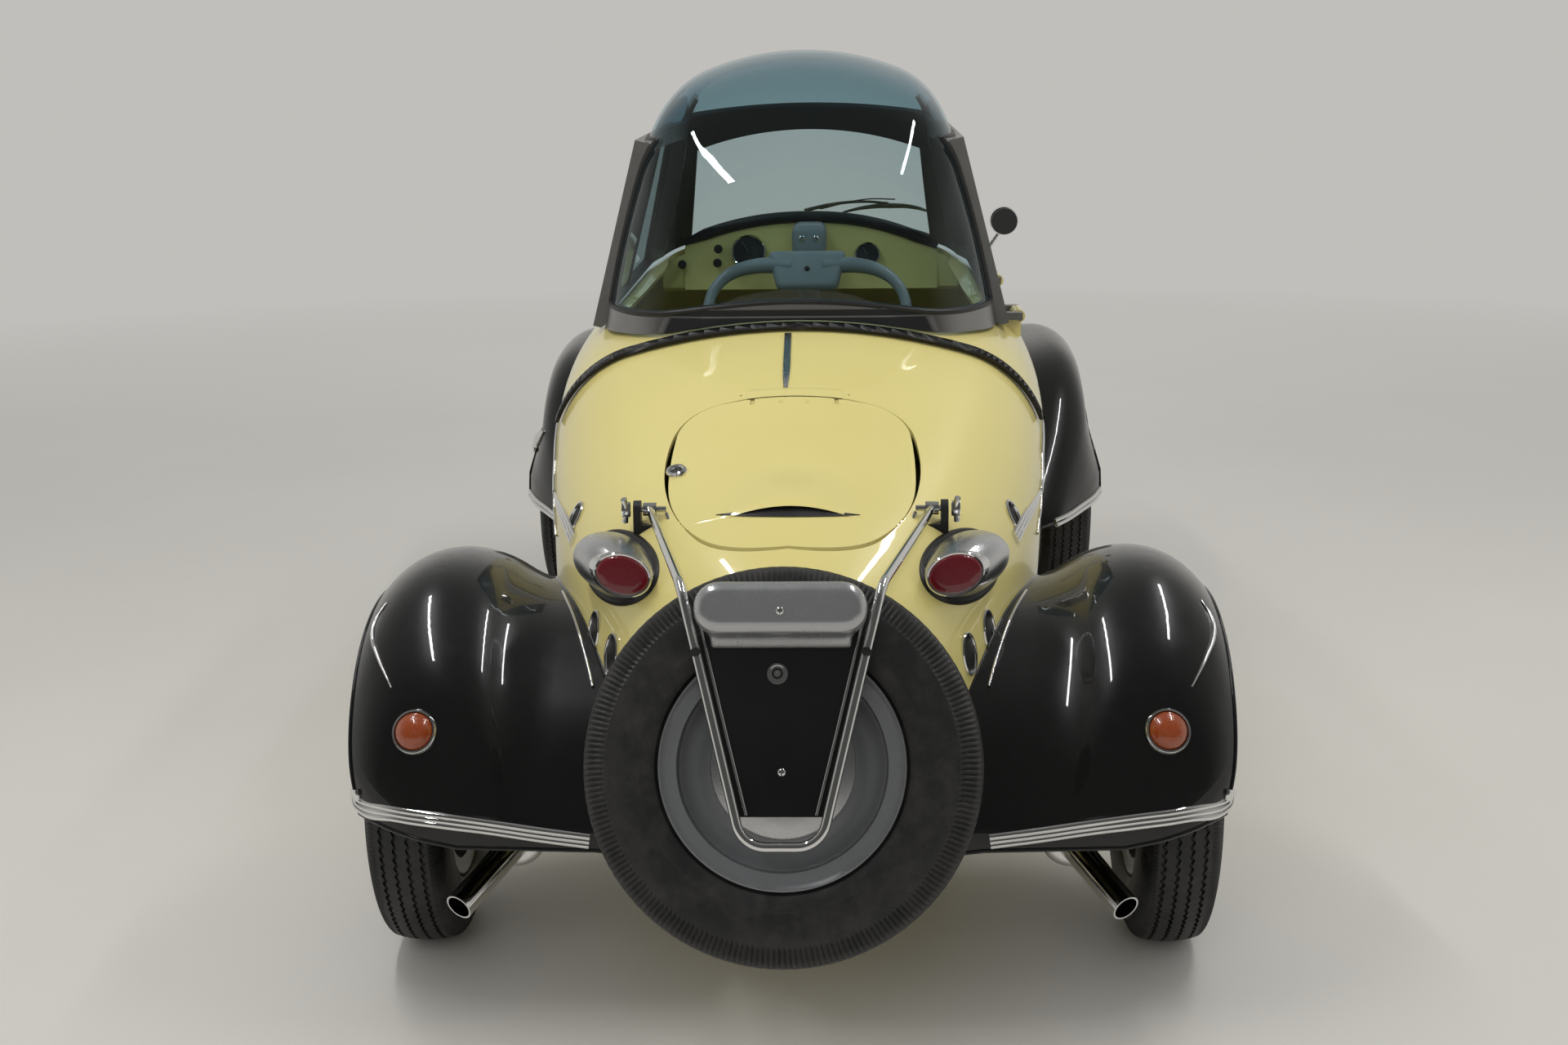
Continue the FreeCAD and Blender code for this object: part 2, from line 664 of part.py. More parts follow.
def side_panes():
    """Two sliding panes on each side, held in the side window frames."""
    front = box(-FAR, FAR, -FAR, SIDE_SPLIT_Y + 20, 0, FAR)
    rear = box(-FAR, FAR, SIDE_SPLIT_Y - 20, FAR, 0, FAR)
    edge = SIDE_FRAME + SEAT_GAP / 2
    panes = []
    for side, _ in SIDES:
        panes.append(side_slab(side, edge, SIDE_OUT - 3.0, SIDE_PANE).common(front))
        panes.append(side_slab(side, edge, SIDE_OUT - 9.0, SIDE_PANE).common(rear))
    return Part.makeCompound([p.Solids[0] for p in panes])


def wiper():
    """Pivot cap, arm and blade, lying on the windscreen."""
    def on_screen(x, along, lift):
        bend = SCREEN_R - math.sqrt(SCREEN_R ** 2 - x ** 2)
        return screen_point(along, lift - bend).add(V(x, 0, 0))
    pivot = rod(on_screen(WIPER_X, 10, -GLASS_INSET), on_screen(WIPER_X, 10, 16), 9)
    arm = rod(on_screen(WIPER_X, 10, 13), on_screen(-95, 66, 12), 3)
    ends = [on_screen(x, along, 8) for x, along in ((-30, 60), (-95, 68), (-165, 78))]
    path = Part.Wire([Part.Arc(*ends).toShape()])
    profile = Part.Wire([Part.Circle(ends[0], ends[1].sub(ends[0]), 4).toShape()])
    blade = path.makePipeShell([profile], True, False)
    return largest(arm.fuse(pivot).fuse(blade).cut(bubble(-SEAT_GAP)))


def dash():
    """The instrument panel across the cabin under the windscreen."""
    points = ((-672, 846), (-586, 842), (-568, 828), (-560, 760), (-574, 752), (-586, 818), (-600, 826), (-672, 830))
    panel = flat_prism(points, lambda p: V(-300, p[0], p[1]), V(600, 0, 0))
    return largest(panel.common(HULL_ROOM))


def steering_column():
    """The column from the foot space up to the yoke, with the shaft that the yoke turns on."""
    axis = V(0, math.cos(COLUMN_LEAN), math.sin(COLUMN_LEAN))
    low = COLUMN_TOP.sub(V(axis).multiply(COLUMN_LENGTH))
    tube = rod(low, COLUMN_TOP.sub(V(axis).multiply(20 + RUNNING_GAP)), COLUMN_R)
    stay = box(-14, 14, -586, -570, 700, 752 - SEAT_GAP)
    return tube.fuse(rod(low, COLUMN_TOP.add(V(axis).multiply(5)), SHAFT_R)).fuse(stay)


def yoke():
    """The flat steering yoke: a hub, and a rim tube that bends down to a grip each side."""
    points = [V(0, 0, 0), V(70, 0, 22), V(150, 0, 8), V(186, 0, -70), V(176, 0, -140)]
    left = bent_tube(points, YOKE_TUBE_R, 26)
    hub = Part.makeCone(34, 44, 34, V(0, -20, 0), Y_AXIS)
    bore = Part.makeCylinder(SHAFT_R + SEAT_GAP, 30 + SEAT_GAP, V(0, -25, 0), Y_AXIS)
    return left.fuse(mirror(left)).fuse(hub).cut(bore)


def yoke_place(shape):
    lean = math.degrees(COLUMN_LEAN)
    return shape.rotated(V(0, 0, 0), X_AXIS, lean).translated(COLUMN_TOP)


def cushion(x, y0, y1, z0, z1, fillet):
    block = box(-x, x, y0, y1, z0, z1)
    return block.makeFillet(fillet, block.Edges)


def seat_frame():
    """Bent tube under and behind the driver's cushions."""
    slope = math.tan(math.radians(SEAT_LEAN))
    runs = []
    for side, _ in SIDES:
        x = side * 150
        points = [V(x, -300, SEAT_RAIL_Z), V(x, SEAT_BEND_Y, SEAT_RAIL_Z),
                  V(x, SEAT_BEND_Y + slope * (SEAT_BACK_TOP - SEAT_RAIL_Z), SEAT_BACK_TOP)]
        rail = bent_tube(points, SEAT_TUBE_R, 50)
        for y in (-270, -20):
            rail = rail.fuse(rod(V(x, y, FLOOR_TOP - 20), V(x, y, SEAT_RAIL_Z), 10))
        runs.append(rail)
    cross = rod(V(-150, -190, SEAT_RAIL_Z), V(150, -190, SEAT_RAIL_Z), 9)
    top_y = SEAT_BEND_Y + slope * (SEAT_BACK_TOP - 30 - SEAT_RAIL_Z)
    top = rod(V(-150, top_y, SEAT_BACK_TOP - 30), V(150, top_y, SEAT_BACK_TOP - 30), 9)
    return runs[0].fuse(runs[1]).fuse(cross).fuse(top).common(HULL_ROOM)


def front_arms():
    """Front suspension arms from the body's side to the king pin eyes."""
    y = FRONT_AXLE_Y
    left = rod(V(150, y - 60, AXLE_Z - 6), V(KING_PIN_X, y, AXLE_Z), 14)
    left = left.fuse(rod(V(150, y + 90, AXLE_Z - 6), V(KING_PIN_X, y, AXLE_Z), 12))
    eye = rod(V(KING_PIN_X, y, AXLE_Z - 24), V(KING_PIN_X, y, AXLE_Z + 24), 19)
    bore = rod(V(KING_PIN_X, y, AXLE_Z - 90), V(KING_PIN_X, y, AXLE_Z + 90), KING_PIN_R + SEAT_GAP)
    left = largest(left.fuse(eye).cut(bore).cut(HULL_SEAT))
    return both(left)


def knuckle(side):
    """The steered upright: a forked carrier with the king pin, brake drum and wheel spindle."""
    y = FRONT_AXLE_Y
    x = KING_PIN_X
    pin = rod(V(x, y, AXLE_Z - 44), V(x, y, AXLE_Z + 44), KING_PIN_R)
    fork = box(x - 18, x + 40, y - 20, y + 20, AXLE_Z - 44, AXLE_Z + 44)
    fork = fork.cut(box(x - 60, x + 26, y - 60, y + 60, AXLE_Z - 30, AXLE_Z + 30))
    drum = rod(V(x + 30, y, AXLE_Z), V(FRONT_TRACK / 2 - 4, y, AXLE_Z), DRUM_R)
    spindle = rod(V(x + 30, y, AXLE_Z), V(FRONT_TRACK / 2 + 34, y, AXLE_Z), SPINDLE_R)
    arm = box(x - 8, x + 8, y + 10, y + 96, AXLE_Z - 44, AXLE_Z - 34)
    return sided(fork.fuse(pin).fuse(drum).fuse(spindle).fuse(arm), side)


def rear_axle():
    """Half shafts with their drums, and the arms that carry them."""
    y = REAR_AXLE_Y
    end = REAR_TRACK / 2
    left = rod(V(150, y, AXLE_Z), V(end + 34, y, AXLE_Z), SPINDLE_R)
    left = left.fuse(rod(V(end - 44, y, AXLE_Z), V(end - 4, y, AXLE_Z), DRUM_R))
    left = left.fuse(rod(V(200, y - 250, AXLE_Z), V(end - 50, y, AXLE_Z), 16))
    left = left.fuse(rod(V(end - 66, y, AXLE_Z), V(end - 40, y, AXLE_Z), 30))
    return both(largest(left.cut(HULL_SEAT)))


def exhaust():
    """A small silencer each side behind the axle, with its long chromed tip."""
    start = V(SILENCER_X, REAR_AXLE_Y + 62, SILENCER_Z)
    end = V(SILENCER_X, REAR_AXLE_Y + 182, SILENCER_Z)
    can = rod(start, end, SILENCER_R)
    can = can.makeFillet(12, can.Edges[:1] + can.Edges[2:])
    tip = V(EXHAUST_X, EXHAUST_END_Y, EXHAUST_Z)
    bend = V(SILENCER_X + 12, REAR_AXLE_Y + 196, SILENCER_Z - 16)
    pipe = bent_tube([end.sub(V(0, 10, 10)), bend, tip], EXHAUST_R, 20)
    bore = rod(tip.sub(tip.sub(bend).normalize().multiply(60)), tip.add(tip.sub(bend).normalize().multiply(9)),
               EXHAUST_R - 2.5)
    feed = rod(V(200, REAR_AXLE_Y + 100, SILENCER_Z + 40), V(SILENCER_X, REAR_AXLE_Y + 110, SILENCER_Z), 14)
    left = can.fuse(pipe).fuse(feed).cut(bore).cut(HULL_SEAT)
    return both(largest(left))


def spare_bracket():
    """The stub that carries the spare wheel on the tail, with its flange, centre bolt and nut."""
    flange = DISC_IN - SEAT_GAP
    nut_at = DISC_IN + DISC_WALL + SEAT_GAP
    tube = rod(V(0, TAIL_END_Y - 60, SPARE_Z + 8), spare_point(0, 0, 0), 34)
    tube = tube.cut(rod(spare_point(0, 0, 0), spare_point(0, 0, 80), 90))
    plate = rod(spare_point(0, 0, flange - 14), spare_point(0, 0, flange), 56)
    bolt = rod(spare_point(0, 0, 0), spare_point(0, 0, nut_at + 20), SPINDLE_R)
    nut = rod(spare_point(0, 0, nut_at), spare_point(0, 0, nut_at + 16), 26)
    return largest(tube.fuse(plate).fuse(bolt).fuse(nut).cut(HULL_SEAT))


def guard_brackets():
    """Two small brackets on the tail that carry the guard frame's upper ends."""
    x, y, z = GUARD_HINGE_X, GUARD_HINGE_Y, GUARD_HINGE_Z
    half, deep = GUARD_BRACKET_HALF, GUARD_BRACKET_DEEP
    left = box(x - half, x + half, y - deep, y + deep, z - 90, z + 2)
    left = left.fuse(rod(V(x - half, y, z), V(x + half, y, z), GUARD_BARREL_R))
    slot = box(x - 12, x + 12, y - 40, y + 40, z - 20, z + 40)
    bore = rod(V(x - 60, y, z), V(x + 60, y, z), GUARD_PIN_R + SEAT_GAP)
    left = left.cut(slot).cut(bore).cut(HULL_SEAT)
    return both(largest(left))


def guard_frame():
    """The chromed guard: one bent tube from bracket to bracket round the spare wheel, and its pins."""
    top = V(GUARD_HINGE_X, GUARD_HINGE_Y, GUARD_HINGE_Z)
    knee = spare_point(GUARD_KNEE_X, GUARD_KNEE_UP, GUARD_STANDOFF)
    foot = spare_point(GUARD_LOW_X - 11, GUARD_LOW_UP - 47, GUARD_STANDOFF)
    flip = lambda p: V(-p.x, p.y, p.z)
    tube = bent_tube([top, knee, foot, flip(foot), flip(knee), flip(top)], GUARD_R, 34)
    for x in (GUARD_HINGE_X, -GUARD_HINGE_X):
        tube = tube.fuse(rod(V(x - GUARD_BRACKET_HALF, top.y, top.z), V(x + GUARD_BRACKET_HALF, top.y, top.z), GUARD_PIN_R))
        tube = tube.fuse(rod(V(x - 9, top.y, top.z), V(x + 9, top.y, top.z), 9))
    return largest(tube)


def guard_plate():
    """The blank dark plate between the guard's legs."""
    rows = ((PLATE_TOP_X, PLATE_TOP_UP), (PLATE_LOW_X, PLATE_LOW_UP))
    out = GUARD_STANDOFF - GUARD_R - SEAT_GAP
    corners = [spare_point(-rows[0][0], rows[0][1], out), spare_point(rows[0][0], rows[0][1], out),
               spare_point(rows[1][0], rows[1][1], out), spare_point(-rows[1][0], rows[1][1], out)]
    face = Part.Face(Part.makePolygon(corners + corners[:1]))
    return face.extrude(spare_point(0, 0, -3).sub(spare_point(0, 0, 0)))


def lamp_cover():
    """The rounded plate lamp across the top of the guard, flat at its back and slanted below."""
    low = GUARD_STANDOFF - GUARD_R
    half = LAMP_COVER_HALF
    block = box(-LAMP_COVER_X, LAMP_COVER_X, -half, LAMP_COVER_DEEP, -half, half)
    block = block.makeFillet(half - 2, [e for e in block.Edges if e.BoundBox.XLength < 1 and e.BoundBox.ZLength < 1])
    block = block.makeFillet(16, [e for e in block.Edges if e.BoundBox.YMin > LAMP_COVER_DEEP - 1])
    block = block.cut(box(-FAR, FAR, -FAR, 0, -FAR, FAR))
    under = flat_prism(((0, -half - 14), (0, -half + 6), (LAMP_COVER_DEEP - 20, -half + 6), (6, -half - 14)),
                       lambda p: V(18 - LAMP_COVER_X, p[0], p[1]), V(2 * LAMP_COVER_X - 36, 0, 0))
    turned = block.fuse(under).rotated(V(0, 0, 0), X_AXIS, SPARE_LEAN)
    return turned.translated(spare_point(0, LAMP_COVER_UP, low))


def dome_lamp(radius, depth, base):
    """A round lamp along +Y: a short drum with a domed front."""
    ball_r = (radius ** 2 + depth ** 2) / (2 * depth)
    ball = Part.makeSphere(ball_r, V(0, depth - ball_r, 0))
    return Part.makeCylinder(radius, base + 2 * depth, V(0, -base, 0), Y_AXIS).common(ball)


def aim(shape, direction, point):
    """Turns a shape that faces +Y to a direction and moves it to a point."""
    turn = FreeCAD.Rotation(Y_AXIS, direction)
    moved = shape.copy()
    moved.Placement = FreeCAD.Placement(point, turn).multiply(moved.Placement)
    return moved


def headlamps(front_form):
    bowl = dome_lamp(HEADLAMP_R, 22, 60)
    left = aim(bowl, V(0, -1, 0), V(HEADLAMP_X, HEADLAMP_Y, HEADLAMP_Z)).cut(front_form)
    return both(largest(left))


def oval_wire(centre, facing, run, long_r, short_r):
    """An oval round a point, facing a direction, its long axis along a run."""
    axis = V(facing).normalize()
    long_way = run.sub(V(axis).multiply(run.dot(axis))).normalize()
    turn = FreeCAD.Rotation(long_way, axis.cross(long_way), axis, "ZXY")
    oval = Part.Ellipse(V(0, 0, 0), long_r, short_r).toShape()
    oval.Placement = FreeCAD.Placement(centre, turn)
    return Part.Wire([oval])


def tail_lamps():
    """Long oval housings along the tail's sides, each rising to a lens that faces back."""
    base, tip = V(*TAIL_LAMP_BASE), V(*TAIL_LENS_AT)
    out, back = V(*TAIL_LAMP_FACING).normalize(), V(*TAIL_LENS_FACING).normalize()
    run, lens_run = V(*TAIL_LAMP_RUN), V(*TAIL_LENS_RUN)
    reach = tip.sub(base)
    rise = reach.dot(out)
    slide = reach.sub(V(out).multiply(rise))
    wires = [oval_wire(base.sub(V(out).multiply(TAIL_LAMP_ROOT)), out, run, *TAIL_LAMP_SIZE)]
    for height in (0.0, 0.6, 0.9, 1.0):
        spread = math.sqrt(1.0 - height ** 2)
        centre = base.add(V(out).multiply(rise * height)).add(V(slide).multiply(1.0 - spread))
        facing = V(out).multiply(spread).add(V(back).multiply(1.0 - spread))
        way = V(run).multiply(spread).add(V(lens_run).multiply(1.0 - spread))
        size = [spread * a + (1.0 - spread) * b for a, b in zip(TAIL_LAMP_SIZE, TAIL_LENS_SIZE)]
        wires.append(oval_wire(centre, facing, way, *size))
    wires.append(oval_wire(tip.add(V(back).multiply(TAIL_LENS_DEPTH)), back, lens_run,
                           0.7 * TAIL_LENS_SIZE[0], 0.7 * TAIL_LENS_SIZE[1]))
    return both(largest(Part.makeLoft(wires, True, False).cut(HULL_SEAT)))


def turn_lamps(rear_form):
    lamp = dome_lamp(TURN_LAMP_R, 24, 40)
    left = aim(lamp, V(0.1, 0.86, 0.5), V(TURN_LAMP_X, TURN_LAMP_Y, TURN_LAMP_Z)).cut(rear_form)
    return both(largest(left))


def mirror_arm():
    """The round mirror on the canopy's right side."""
    head_at = V(MIRROR_X, MIRROR_Y, MIRROR_Z)
    head_disc = rod(head_at, head_at.add(V(0, -14, 0)), 28)
    stem = rod(head_at.add(V(0, -8, -10)), side_place(-1, 0.0)((MIRROR_Y + 10, SIDE_FRAME / 2)), 4)
    return head_disc.fuse(stem).cut(side_slab(-1, 0.0, SIDE_OUT + SEAT_GAP, SIDE_DEEP))


os.makedirs("parts", exist_ok=True)

rear_outer = fender_form(REAR_FENDER, 0.0)
front_outer = fender_form(FRONT_FENDER, 0.0)
rear_fender = fender(rear_outer, fender_form(REAR_FENDER, FENDER_WALL), REAR_AXLE_Y)
front_fender = fender(front_outer, fender_form(FRONT_FENDER, FENDER_WALL), FRONT_AXLE_Y)
panes = pane_shell()

nodes = {
    "tub": tub(),
    "tail_cover": tail_cover(),
    "tail_hatch": tail_hatch(),
    "body_seal": body_seal(),
    "canopy_frame": canopy_frame(),
    "canopy_dome": largest(panes.common(dome_zone(SEAT_GAP))),
    "windscreen": largest(panes.common(screen_prism(SEAT_GAP))),
    "side_windows": side_panes(),
    "wiper": wiper(),
    "mirror": mirror_arm(),
    "dash": dash(),
    "steering_column": steering_column(),
    "steering_yoke": yoke_place(yoke()),
    "seat_frame": seat_frame(),
    "front_seat_cushion": cushion(190, -320, 10, SEAT_RAIL_Z + SEAT_TUBE_R + SEAT_GAP, SEAT_RAIL_Z + 92, 24),
    "front_seat_back": cushion(185, 0, 60, 0, 300, 24),
    "rear_seat_cushion": cushion(200, 190, BULKHEAD_Y - SEAT_GAP, 300, 400, 24),
    "rear_seat_back": cushion(200, 380, BULKHEAD_Y - SEAT_GAP, 410, 760, 20),
    "engine_block": largest(box(-150, 150, 640, 960, 150, 480).common(HULL_ROOM)),
    "front_arms": front_arms(),
    "rear_axle": rear_axle(),
    "exhaust": exhaust(),
    "headlamps": headlamps(front_outer),
    "tail_lamps": tail_lamps(),
    "turn_lamps": turn_lamps(rear_outer),
    "spare_bracket": spare_bracket(),
    "spare_tyre": spare_place(tyre()),
    "spare_rim": spare_place(rim()),
    "guard_brackets": guard_brackets(),
    "guard_frame": guard_frame(),
    "guard_plate": guard_plate(),
    "lamp_cover": lamp_cover(),
}
seat_back = nodes["front_seat_back"].rotated(V(0, 0, 0), X_AXIS, -SEAT_LEAN)
nodes["front_seat_back"] = seat_back.translated(V(0, 18, SEAT_RAIL_Z + 70))
for side, name in SIDES:
    nodes["front_fender_" + name] = sided(front_fender, side)
    nodes["rear_fender_" + name] = sided(rear_fender, side)
    nodes["knuckle_" + name] = knuckle(side)
    for end, y, track in (("front", FRONT_AXLE_Y, FRONT_TRACK), ("rear", REAR_AXLE_Y, REAR_TRACK)):
        nodes["tyre_%s_%s" % (end, name)] = wheel_place(tyre(), side, y, track)
        nodes["rim_%s_%s" % (end, name)] = wheel_place(rim(), side, y, track)

for name, shape in nodes.items():
    shape.exportStep("parts/%s.step" % name)
    print("%-20s %d solids, valid %s, %.0f cm3" % (name, len(shape.Solids), shape.isValid(), shape.Volume / 1e3))
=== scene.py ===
from math import atan2, cos, hypot, pi, prod, radians, sin, sqrt, tau

import bpy
from mathutils import Matrix, Vector
from mathutils.bvhtree import BVHTree


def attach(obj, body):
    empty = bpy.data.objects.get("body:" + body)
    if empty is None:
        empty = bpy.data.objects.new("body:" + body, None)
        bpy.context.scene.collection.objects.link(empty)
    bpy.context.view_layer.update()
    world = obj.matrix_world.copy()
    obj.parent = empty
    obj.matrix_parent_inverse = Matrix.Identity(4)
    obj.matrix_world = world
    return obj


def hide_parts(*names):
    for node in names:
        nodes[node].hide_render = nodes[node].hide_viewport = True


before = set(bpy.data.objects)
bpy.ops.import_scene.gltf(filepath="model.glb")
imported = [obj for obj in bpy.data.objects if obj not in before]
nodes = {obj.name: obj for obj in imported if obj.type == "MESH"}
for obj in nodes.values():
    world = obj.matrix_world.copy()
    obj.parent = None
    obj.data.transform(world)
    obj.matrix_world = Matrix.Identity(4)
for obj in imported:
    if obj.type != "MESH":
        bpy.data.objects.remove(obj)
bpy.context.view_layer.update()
scene = bpy.context.scene

MM = 0.001
SIDES = ((1, "left"), (-1, "right"))
UP = Vector((0, 0, 1))
WELD = 1e-5
SHARP = radians(40)
SPLIT = radians(28)

# The photograph's camera, in metres and radians, and its frame in pixels
EYE = Vector((-0.0821, 3.7081, 1.2685))
YAW = 0.0331145528
PITCH = 0.230334162
ROLL = -0.011827765
FOCAL_PX = 2569.07
PHOTO_WIDTH = 1920
PHOTO_HEIGHT = 1280
SENSOR_MM = 36.0


def eye_axes():
    """The camera's right, up and forward directions."""
    forward = Vector((sin(YAW) * cos(PITCH), -cos(YAW) * cos(PITCH), -sin(PITCH)))
    level = Vector((-cos(YAW), -sin(YAW), 0.0))
    above = level.cross(forward)
    right = cos(ROLL) * level + sin(ROLL) * above
    up = -sin(ROLL) * level + cos(ROLL) * above
    return right, up, forward


RIGHT, ABOVE, FORWARD = eye_axes()


def linked(name, data):
    """A new object of the scene."""
    made = bpy.data.objects.new(name, data)
    scene.collection.objects.link(made)
    return made


def camera():
    data = bpy.data.cameras.new("photo_camera")
    data.sensor_width = SENSOR_MM
    data.lens = FOCAL_PX / PHOTO_WIDTH * SENSOR_MM
    data.clip_end = 100.0
    eye = linked("photo_camera", data)
    eye.matrix_world = placed(EYE, RIGHT, ABOVE, -FORWARD)
    scene.camera = eye


def sight(px, py):
    """The direction of sight through a pixel of the photograph."""
    across = (px - PHOTO_WIDTH / 2) / FOCAL_PX
    rise = (PHOTO_HEIGHT / 2 - py) / FOCAL_PX
    return (FORWARD + across * RIGHT + rise * ABOVE).normalized()


def placed(place, *axes):
    """The matrix of a frame with its own axes at a place."""
    return Matrix.Translation(place) @ Matrix(axes).transposed().to_4x4()


# Modelling steps

def pick(*pieces):
    """Selects pieces, the first of them active."""
    for piece in bpy.context.selected_objects:
        piece.select_set(False)
    for piece in pieces:
        piece.select_set(True)
    bpy.context.view_layer.objects.active = pieces[0]


def apply_place(piece):
    pick(piece)
    bpy.ops.object.transform_apply(location=True, rotation=True, scale=True)
    return piece


def modify(piece, kind, **settings):
    """Adds a modifier and applies it."""
    pick(piece)
    made = piece.modifiers.new(kind.title(), kind)
    for name, value in settings.items():
        setattr(made, name, value)
    bpy.ops.object.modifier_apply(modifier=made.name)
    return piece


def smooth(piece, angle=30.0):
    pick(piece)
    bpy.ops.object.shade_smooth_by_angle(angle=radians(angle))
    return piece


def put(piece, matrix):
    """Moves a piece's mesh by a matrix, its object staying at the origin."""
    piece.matrix_world = matrix @ piece.matrix_world
    return apply_place(piece)


def copy_of(piece, name):
    made = piece.copy()
    made.data = piece.data.copy()
    made.name = name
    scene.collection.objects.link(made)
    return made


def weld():
    bpy.ops.mesh.remove_doubles(threshold=WELD)


def face_out():
    bpy.ops.mesh.normals_make_consistent(inside=False)


def edited(piece, *steps):
    """Runs steps in edit mode, each on the whole of a piece's mesh."""
    pick(piece)
    bpy.ops.object.mode_set(mode="EDIT")
    for step in steps:
        bpy.ops.mesh.select_all(action="SELECT")
        step()
    bpy.ops.object.mode_set(mode="OBJECT")
    return piece


def mirror_of(piece, name):
    """A copy on the car's other side."""
    made = copy_of(piece, name)
    made.matrix_world = Matrix.Diagonal((-1, 1, 1, 1))
    return edited(apply_place(made), bpy.ops.mesh.flip_normals)


def welded_copy(node, name):
    """A copy of a node's solid without its finishing modifiers, its seams joined."""
    piece = copy_of(nodes[node], name)
    piece.modifiers.clear()
    return edited(piece, weld)


def join(name, pieces):
    pick(*pieces)
    if len(pieces) > 1:
        bpy.ops.object.join()
    pieces[0].name = name
    return pieces[0]


def cut(piece, cutter):
    modify(piece, "BOOLEAN", object=cutter, operation="DIFFERENCE", solver="EXACT")
    bpy.data.objects.remove(cutter)
    return piece


def to_mesh(curve):
    pick(curve)
    bpy.ops.object.convert(target="MESH")
    return bpy.context.object


def added(name, kind, **settings):
    """Adds a primitive mesh."""
    getattr(bpy.ops.mesh, "primitive_%s_add" % kind)(**settings)
    bpy.context.object.name = name
    return apply_place(bpy.context.object)


def sheet(name, columns, rows):
    """A flat grid, one metre across, to be laid over a surface."""
    return added(name, "grid", x_subdivisions=columns, y_subdivisions=rows, size=1)


def rod(name, corners, radius, height, place):
    """A cylinder along X."""
    return added(name, "cylinder", vertices=corners, radius=radius, depth=height, location=place,
                 rotation=(0, pi / 2, 0))


def block(name, size, place=(0, 0, 0)):
    return added(name, "cube", size=1, location=place, scale=size)


def move_corners(piece, rule):
    """Moves each corner of a mesh by a rule from place to place."""
    for corner in piece.data.vertices:
        corner.co = rule(corner.co)
    piece.data.update()
    return piece


def lathe(name, profile, steps=64):
    """Spins (place along X, radius) points, in millimetres, round the X axis."""
    piece = added(name, "plane", size=0.01)

    def draw():
        bpy.ops.mesh.merge(type="CENTER")
        bpy.ops.transform.translate(value=(profile[0][0] * MM, 0, profile[0][1] * MM))
        for (x0, r0), (x1, r1) in zip(profile, profile[1:]):
            step = ((x1 - x0) * MM, 0, (r1 - r0) * MM)
            bpy.ops.mesh.extrude_vertices_move(TRANSFORM_OT_translate={"value": step})

    def spin():
        bpy.ops.mesh.spin(steps=steps, angle=tau, center=(0, 0, 0), axis=(1, 0, 0))

    return edited(piece, draw, spin, weld, face_out)


def sweep(name, points, radius, taper=None, fine=6):
    """A round bead or tube of a radius in metres along smooth points."""
    bpy.ops.curve.primitive_bezier_curve_add()
    curve = bpy.context.object
    curve.name = name
    curve.data.splines.clear()
    line = curve.data.splines.new("BEZIER")
    line.bezier_points.add(len(points) - 1)
    for place, (knot, point) in enumerate(zip(line.bezier_points, points)):
        knot.co = point
        knot.handle_left_type = knot.handle_right_type = "AUTO"
        knot.radius = taper[place] if taper else 1.0
    line.resolution_u = fine
    curve.data.dimensions = "3D"
    curve.data.bevel_depth = radius
    curve.data.bevel_resolution = 4
    curve.data.use_fill_caps = True
    return smooth(to_mesh(curve), 50)


# Where things sit on the solids

def tree_of(*names):
    """A ray-cast tree over some nodes."""
    corners, faces = [], []
    for name in names:
        mesh = nodes[name].data
        start = len(corners)
        corners += [v.co.copy() for v in mesh.vertices]
        faces += [[start + i for i in polygon.vertices] for polygon in mesh.polygons]
    return BVHTree.FromPolygons(corners, faces)


SEARCH_PX = 60


def seen(px, py, tree):
    """The point and normal of what carries a pixel of the photograph, or the edge next to it."""
    inward = 1.0 if px < PHOTO_WIDTH / 2 else -1.0
    for step in range(SEARCH_PX):
        point, normal, _, _ = tree.ray_cast(EYE, sight(px + inward * step, py))
        if point is not None:
            break
    if normal.dot(sight(px, py)) > 0:
        normal = -normal
    return point, normal


def level(tree, x, y):
    """The height of the first surface met from above, or -1 where there is none."""
    hit = tree.ray_cast(Vector((x, y, 1.0)), -UP)[0]
    return -1.0 if hit is None else hit.z


# Finishes

class Value:
    """A socket in a finish's node tree, with arithmetic that adds its Math nodes."""

    def __init__(self, finish, socket):
        self.finish = finish
        self.socket = socket

    def math(self, operation, *values):
        inputs = {0: self, **{place + 1: value for place, value in enumerate(values)}}
        return self.finish.node("Math", {"operation": operation}, inputs)

    def __add__(self, other):
        return self.math("ADD", other)

    def __mul__(self, other):
        return self.math("MULTIPLY", other)

    def __rsub__(self, other):
        return self.math("MULTIPLY", -1.0).math("ADD", other)

    def __pow__(self, other):
        return self.math("POWER", other)

    __radd__ = __add__
    __rmul__ = __mul__


